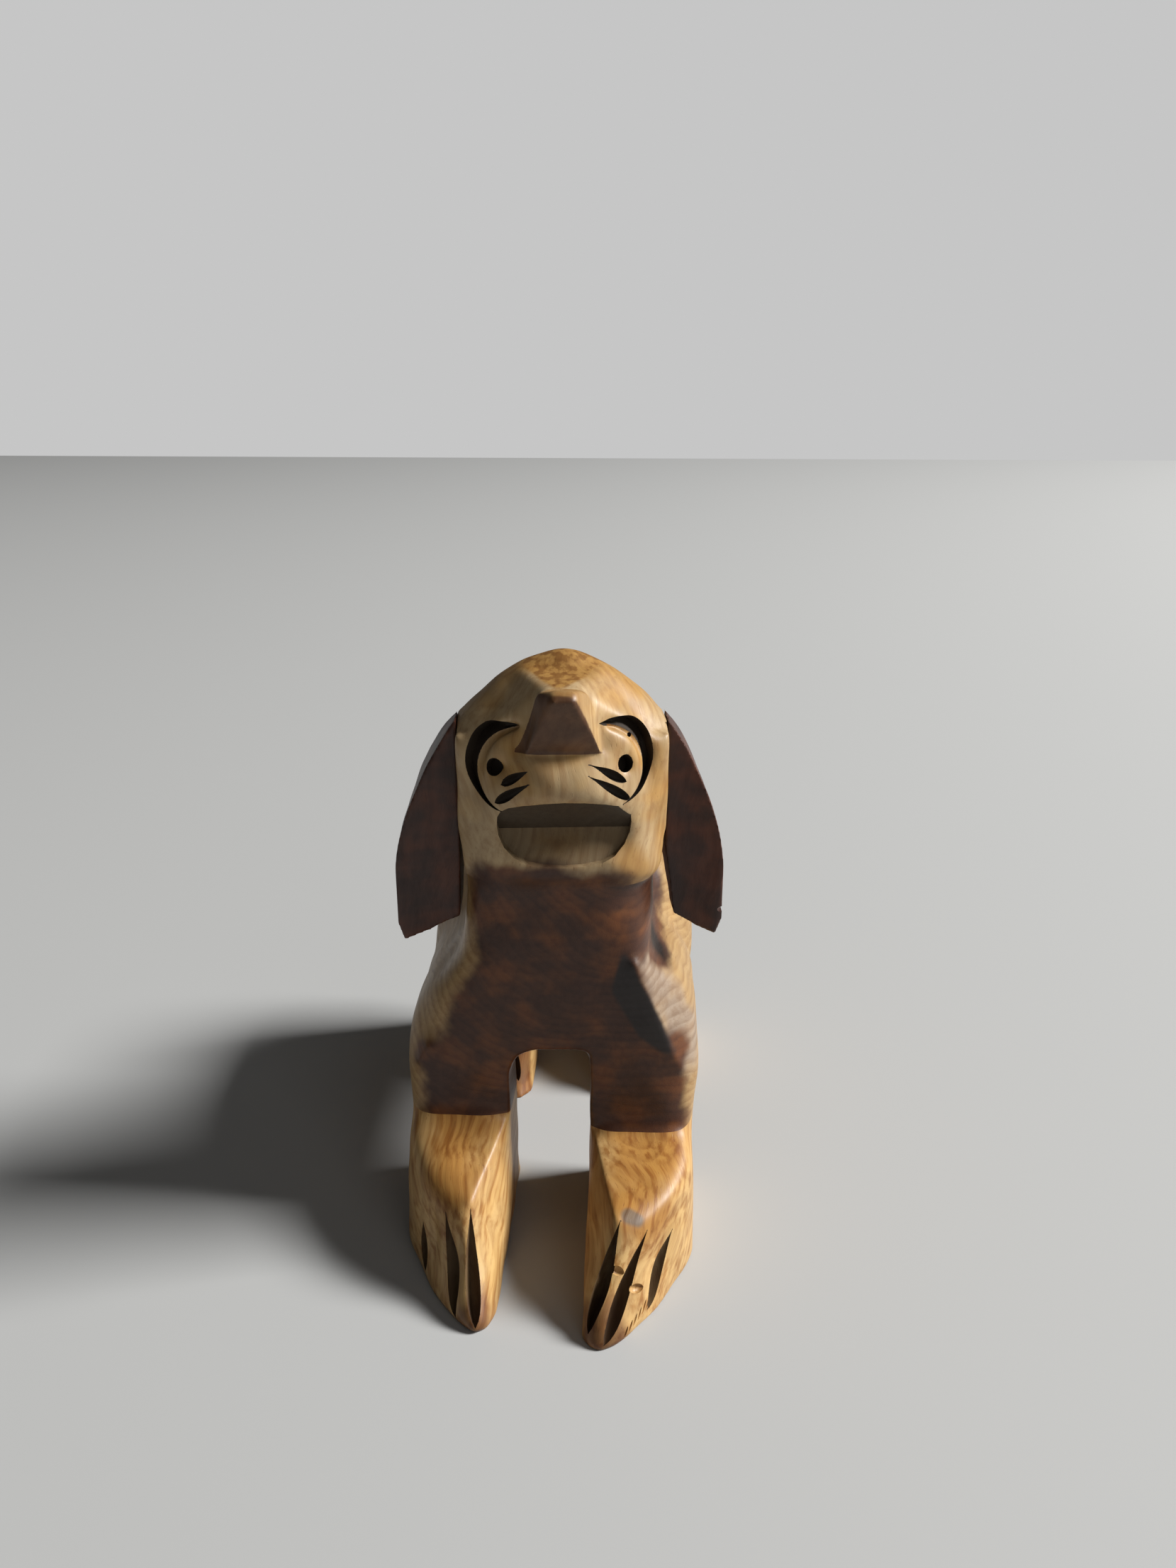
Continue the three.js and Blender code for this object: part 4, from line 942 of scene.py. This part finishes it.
def eye_ring(side, across, rise, wide, tall, foot_angle, top_angle):
    """A gouged ring round the outer side of an eye, widest above, with a steep outer wall."""
    steps = 44
    lean_up = 1.5
    blunt = 0.6
    thinnest = 0.05
    slope_share = 0.6
    slope_depth = 0.7
    wall_share = 0.2
    out = (head_place.to_3x3() @ Vector((side * 0.45, -0.85, 0.28))).normalized()
    clear = out * clear_of_face * mm
    shape = bmesh.new()
    rows = []
    for i in range(steps + 1):
        share = i / steps
        angle = math.radians(foot_angle + (top_angle - foot_angle) * share)
        skewed = share**lean_up
        leaf = max((4 * skewed * (1 - skewed)) ** blunt, thinnest)
        width = eye_cut_width * leaf
        ring = []
        for inset in (0, width):
            x = across + side * (wide - inset) * math.cos(angle)
            ring.append(on_face(x, rise + (tall - inset) * math.sin(angle)))
        outer, inner = ring
        deep = out * (eye_cut_depth * mm * leaf**blunt)
        slope = outer.lerp(inner, slope_share) - deep * slope_depth
        wall_foot = outer.lerp(inner, wall_share) - deep
        spots = (outer + clear, inner + clear, inner, slope, wall_foot)
        rows.append([shape.verts.new(spot) for spot in spots])
    shape.faces.new(rows[0])
    shape.faces.new(rows[-1][::-1])
    for row, after in zip(rows, rows[1:]):
        for k in range(len(row)):
            n = (k + 1) % len(row)
            shape.faces.new((row[k], row[n], after[n], after[k]))
    bmesh.ops.recalc_face_normals(shape, faces=shape.faces)
    bmesh.ops.triangulate(shape, faces=shape.faces)
    mesh = bpy.data.meshes.new("cutter")
    shape.to_mesh(mesh)
    shape.free()
    return linked("cutter", mesh)


def pupil(side, across, rise, radius, depth):
    """A round hole bored square into an eye."""
    sides = 28
    out = (head_place.to_3x3() @ Vector((side * 0.4, -0.85, 0.3))).normalized()
    turn = out.to_track_quat("Z", "Y").to_matrix().to_4x4()
    angles = [2 * math.pi * i / sides for i in range(sides)]
    outline = [(radius * math.cos(a), radius * math.sin(a)) for a in angles]
    return prism(outline, -depth, clear_of_face, Matrix.Translation(on_face(across, rise)) @ turn)


from_front = head_place @ Matrix(((1, 0, 0, 0), (0, 0, -1, 0), (0, 1, 0, 0), (0, 0, 0, 1)))
from_side = head_place @ Matrix(((0, 0, 1, 0), (1, 0, 0, 0), (0, 1, 0, 0), (0, 0, 0, 1)))
nose_outline = [
    (-nose_foot_half, nose_rise),
    (nose_foot_half, nose_rise),
    (nose_top_half, nose_top),
    (-nose_top_half, nose_top),
]
nose_cell = prism(nose_outline, -nose_back, nose_ahead, from_front)
eye_cut_width = 3.3
eye_cut_depth = 2.6
pupil_radius = 1.85
pupil_depth = 2.4
pit_radius = 0.5
pit_depth = 0.7
right = -1
left = 1
face_cutters = [
    eye_ring(right, across=-11.9, rise=26.2, wide=8.5, tall=8.9, foot_angle=-86, top_angle=112),
    eye_ring(left, across=10.6, rise=27.3, wide=8.4, tall=8.8, foot_angle=-80, top_angle=114),
    pupil(right, across=-14, rise=25.9, radius=pupil_radius, depth=pupil_depth),
    pupil(left, across=12.2, rise=26.3, radius=pupil_radius, depth=pupil_depth),
    pupil(left, across=13.6, rise=31.2, radius=pit_radius, depth=pit_depth),
]

mouth_shift = 0.1
mouth_half = 13.8
mouth_top = 20.4
mouth_low = 5.2
mouth_corner_back = 3
mouth_corner_rise = 12.2
mouth_reach = 20
mouth_depth = 5
mouth_ahead = 30
upper_slope = 1.35
lower_slope = 1.9
half_mouth = [
    (0, mouth_low),
    (0.3, mouth_low + 0.25),
    (0.55, mouth_low + 0.9),
    (0.75, mouth_low + 2.2),
    (0.9, mouth_low + 4.3),
    (0.98, mouth_low + 6.8),
    (1, mouth_low + 9),
    (0.99, mouth_top - 4.4),
    (0.94, mouth_top - 3.1),
    (0.82, mouth_top - 2),
    (0.6, mouth_top - 1),
    (0.3, mouth_top - 0.3),
    (0, mouth_top),
]
mouth_outline = [(mouth_shift + share * mouth_half, z) for share, z in half_mouth]
mouth_outline += [(mouth_shift - share * mouth_half, z) for share, z in half_mouth[-2:0:-1]]
notch = [
    (mouth_corner_back, mouth_corner_rise),
    (mouth_corner_back - mouth_reach, mouth_corner_rise + upper_slope * mouth_reach),
    (mouth_corner_back - mouth_reach, mouth_corner_rise - lower_slope * mouth_reach),
]
mouth_bar = prism(mouth_outline, -mouth_depth, mouth_ahead, from_front)
mouth_wedge = prism(notch, -mouth_reach, mouth_reach, from_side)
mouth_cutter = linked("cutter", sawn(mouth_bar.data, [mouth_wedge]))
removed([mouth_bar, mouth_wedge])

whiskers = [
    (right, (-6.9, 26.6), (-12.6, 23)),
    (right, (-6.6, 24.2), (-14, 19)),
    (left, (4.9, 27.8), (12.8, 23.1)),
    (left, (4.7, 25.8), (13.6, 19.3)),
]
whisker_width = 2.1 * mm
whisker_depth = 1.7 * mm
whisker_fullness = 1.7
whisker_lift = 0.2 * mm
for side, start, end in whiskers:
    facing = head_place.to_3x3() @ Vector((side * 0.3, -0.85, 0.4))
    thin_end = on_face(*start) + facing * whisker_lift
    thick_end = on_face(*end)
    face_cutters.append(gouge(thin_end, thick_end, facing, whisker_width, whisker_depth, whisker_fullness))
upper_dog = sawn(upper_dog, outside=[*face_cutters, mouth_cutter])
carved_head = swept(sawn(upper_dog.copy(), outside=[nose_cell]))
face_wood = wood(
    "face_wood",
    sapwood=(0.5, 0.36, 0.195, 1),
    golden=(0.4, 0.23, 0.075, 1),
    heartwood=(0.062, 0.021, 0.008, 1),
    amber=(0.125, 0.042, 0.01, 1),
    violet=(0.42, 0.23, 0.065, 1),
    cut_stain=(0.016, 0.01, 0.006, 1),
    pith=(0.03, 0.0, 0.08),
    lean=(-0.45, -0.06, 0),
    ring_width=2.4,
    ring_depth=0.16,
    streak=0.35,
    fleck=0.6,
    ripple=0.3,
)
figured(
    carved_head,
    heart=[((-13, -26, 79), (8, -28, 79), 9, 9.5), ((-7, -30, 81.5), (9, -30, 81.5), 8.2, 8.2)],
    violet=[((1.2, -27, 124.5), (-0.6, 12, 136), 0.6, 19)],
    golden=[
        ((21, -18, 116), (21, -18, 88), 3.5, 5),
        ((16, -26, 92), (16, -24, 84), 4, 5),
        ((1, -6, 106), (1, -2, 112), 23, 22.6),
        ((2, -36, 106), (2, -36, 108), 3, 3),
    ],
)
# The mouth is darkened with stain and painted shade; its roof, which looks down, takes the most painted
# shade.
mouth_stain_and_shade = 0.5
mouth_shade_under = 0.94
# The eye rings, pupils and whisker cuts are darkened with stain and painted shade.
stained_and_shaded(carved_head, face_cutters)
stained_and_shaded(carved_head, [mouth_cutter], mouth_stain_and_shade, mouth_shade_under)
fixed(carved_head, "carved_head", "head", face_wood)

# Nose: a wedge that overhangs the muzzle, pegged to the front of the head.
# Its front and its right side, which face down and away from the light, are painted dark, with heartwood and
# painted shade together, and its left side stays as pale as the brow.

nose_wood = wood(
    "nose_wood",
    sapwood=(0.45, 0.3, 0.14, 1),
    golden=(0.35, 0.19, 0.06, 1),
    heartwood=(0.1, 0.045, 0.018, 1),
    amber=(0.13, 0.06, 0.024, 1),
    pith=(0.03, 0.0, 0.08),
    lean=(-0.45, -0.06, 0),
    ring_width=2.4,
    ring_depth=0.16,
)
carved_nose = sawn(upper_dog, [nose_cell])
normals = np.empty(len(carved_nose.vertices) * 3)
carved_nose.vertices.foreach_get("normal", normals)
# Faces turned down, forward and to the dog's right are painted dark here: painted shade over darker wood,
# within the nose's front edges.
shaded_way = np.array(head_place.to_3x3() @ Vector((-0.4, -0.85, -0.35)))
turned_away = 0.3
by_turn = 12
by_edge = 4
left_edge = 8
right_edge = 11
edge_slope = 0.36
across, _, rise = in_head(places(carved_nose)).T
taper = edge_slope * (rise - nose_rise)
inside_edges = np.minimum(left_edge - taper - across, right_edge - taper + across)
heart_and_shade = np.minimum((normals.reshape(-1, 3) @ shaded_way - turned_away) * by_turn, inside_edges * by_edge)
heart_and_shade_front = carved_nose.attributes.new("heart", "FLOAT", "POINT")
heart_and_shade_front.data.foreach_set("value", heart_and_shade.astype(np.float32))
figured(carved_nose, violet=nowhere, golden=[((3, -30, 127), (3, -24, 127), 3, 3)])
# Where those cuts reach the nose they are darkened the same way, with stain and painted shade.
stained_and_shaded(carved_nose, face_cutters)
removed([*face_cutters, mouth_cutter])
fixed(carved_nose, "carved_nose", "nose", nose_wood)

# Ears: two hanging flaps of dark maroon heartwood with scooped fronts and crisp rims.
# Each carries a tongue on its inner side that is glued in a mortise in the head.

ear_wood = wood(
    "ear_wood",
    sapwood=(0.42, 0.27, 0.13, 1),
    golden=(0.2, 0.07, 0.03, 1),
    heartwood=(0.042, 0.016, 0.01, 1),
    amber=(0.085, 0.028, 0.014, 1),
    violet=(0.014, 0.01, 0.01, 1),
    pith=(0.0, 0.03, 0.09),
    lean=(0.1, 0.2, 0),
    ring_width=2.6,
    ring_depth=0.2,
    ripple=0.2,
)
ear_seat = head_half + 0.25 * mm
ear_lift = 1.2 * mm
ear_lift_from = 98 * mm
ear_lift_blend = 20 * mm
ear_waver = 0.1 * mm
ear_nick_rise = 74 * mm
ear_nick_width = 1.4 * mm
ear_nick_depth = 1 * mm
half_nick = Vector((0.4 * mm, 3 * mm, 0))
level_margin = 0.5 * mm
left_ear_cell = cell((ear_seat, -far, -far), (far, far, far), head_place)
right_ear_cell = cell((-far, -far, -far), (-ear_seat, far, far), head_place)
left_ear_heart = [((26, -8, 114), (28, -4, 66), 18, 26)]
right_ear_heart = [((-26, -12, 114), (-28, -8, 66), 18, 26)]
for node, box, heart in (
    ("left_ear", left_ear_cell, left_ear_heart),
    ("right_ear", right_ear_cell, right_ear_heart),
):
    ear_mesh = glued_up([node], 0)
    ear_spots = places(ear_mesh)
    rim_distance = away_from(knife_edges(node, lambda p: True, glue_line=0), ear_spots)
    ear_spots[:, 2] += ear_lift * rising(ear_spots[:, 2], ear_lift_from, ear_lift_blend)
    ear_mesh.vertices.foreach_set("co", ear_spots.ravel())
    ear_mesh = rubbed(ear_mesh, sanding_by(rim_distance), sanding_rounds)
    ear_mesh = sawn(wavered(ear_mesh, ear_waver, seed=11), [box])
    if node == "left_ear":
        level_spots = [v.co for v in ear_mesh.vertices if abs(v.co.z - ear_nick_rise) < level_margin]
        rim = max(level_spots, key=lambda spot: spot.x)
        nick = gouge(rim - half_nick, rim + half_nick, (1, 0, 0), ear_nick_width, ear_nick_depth)
        ear_mesh = sawn(ear_mesh, outside=[nick])
        removed([nick])
    figured(ear_mesh, heart=heart, violet=nowhere, golden=nowhere)
    fixed(ear_mesh, "carved_" + node, node, ear_wood)
removed(
    [below_neck, above_neck, left_paw_cell, right_paw_cell, left_hind_cell, right_hind_cell, tail_cell]
    + [left_ear_cell, right_ear_cell, nose_cell]
)

# Studio: a plain pale floor, soft light like a window's from the dog's left, and a weak fill from in front.
# The camera stands in front of the dog and a little above it, so close that the head looms over the paws.

half_floor = 2
corners = [(-1, -1), (1, -1), (1, 1), (-1, 1)]
floor_mesh = bpy.data.meshes.new("floor")
floor_mesh.from_pydata([(x * half_floor, y * half_floor, 0) for x, y in corners], [], [(0, 1, 2, 3)])
floor = linked("floor", floor_mesh)
pale_floor = bpy.data.materials.new("pale_floor")
pale_floor.use_nodes = True
floor_shader = pale_floor.node_tree.nodes["Principled BSDF"]
floor_shader.inputs["Base Color"].default_value = (0.44, 0.44, 0.43, 1)
floor_shader.inputs["Roughness"].default_value = 0.8
floor_mesh.materials.append(pale_floor)

backdrop_level = 0.5
room_light = 0.065
soft_room = bpy.data.worlds.new("soft_room")
bpy.context.scene.world = soft_room
soft_room.use_nodes = True
room_bench = Bench(soft_room.node_tree)
seen = room_bench.add("ShaderNodeLightPath").outputs["Is Camera Ray"]
room_level = room_bench.sum("ADD", room_bench.sum("MULTIPLY", seen, backdrop_level), room_light)
soft_room.node_tree.links.new(room_level, soft_room.node_tree.nodes["Background"].inputs["Strength"])
soft_room.node_tree.nodes["Background"].inputs["Color"].default_value = (1, 1, 1, 1)


def soft_lamp(name, place, width, power):
    """A square lamp with soft edges, aimed at the dog's chest and head."""
    aim = Vector((0, -0.01, 0.07))
    data = bpy.data.lights.new(name, "AREA")
    data.size = width
    data.energy = power
    lamp = linked(name, data)
    lamp.location = place
    lamp.rotation_euler = (aim - Vector(place)).to_track_quat("-Z", "Y").to_euler()


soft_lamp("window", (4.05, 0.36, 3.15), width=1.5, power=490)
soft_lamp("front_fill", (2.7, -3.9, 3.0), width=2.4, power=16)

lens = bpy.data.cameras.new("camera")
lens.lens = 27.56
lens.sensor_width = 36
camera = linked("camera", lens)
camera.location = Vector((17.97, -253.69, 190)) * mm
camera_tilt = math.radians(70)
camera_turn = math.radians(2.8)
camera.rotation_euler = (camera_tilt, 0, camera_turn)
bpy.context.scene.camera = camera
bpy.context.scene.view_settings.view_transform = "Standard"
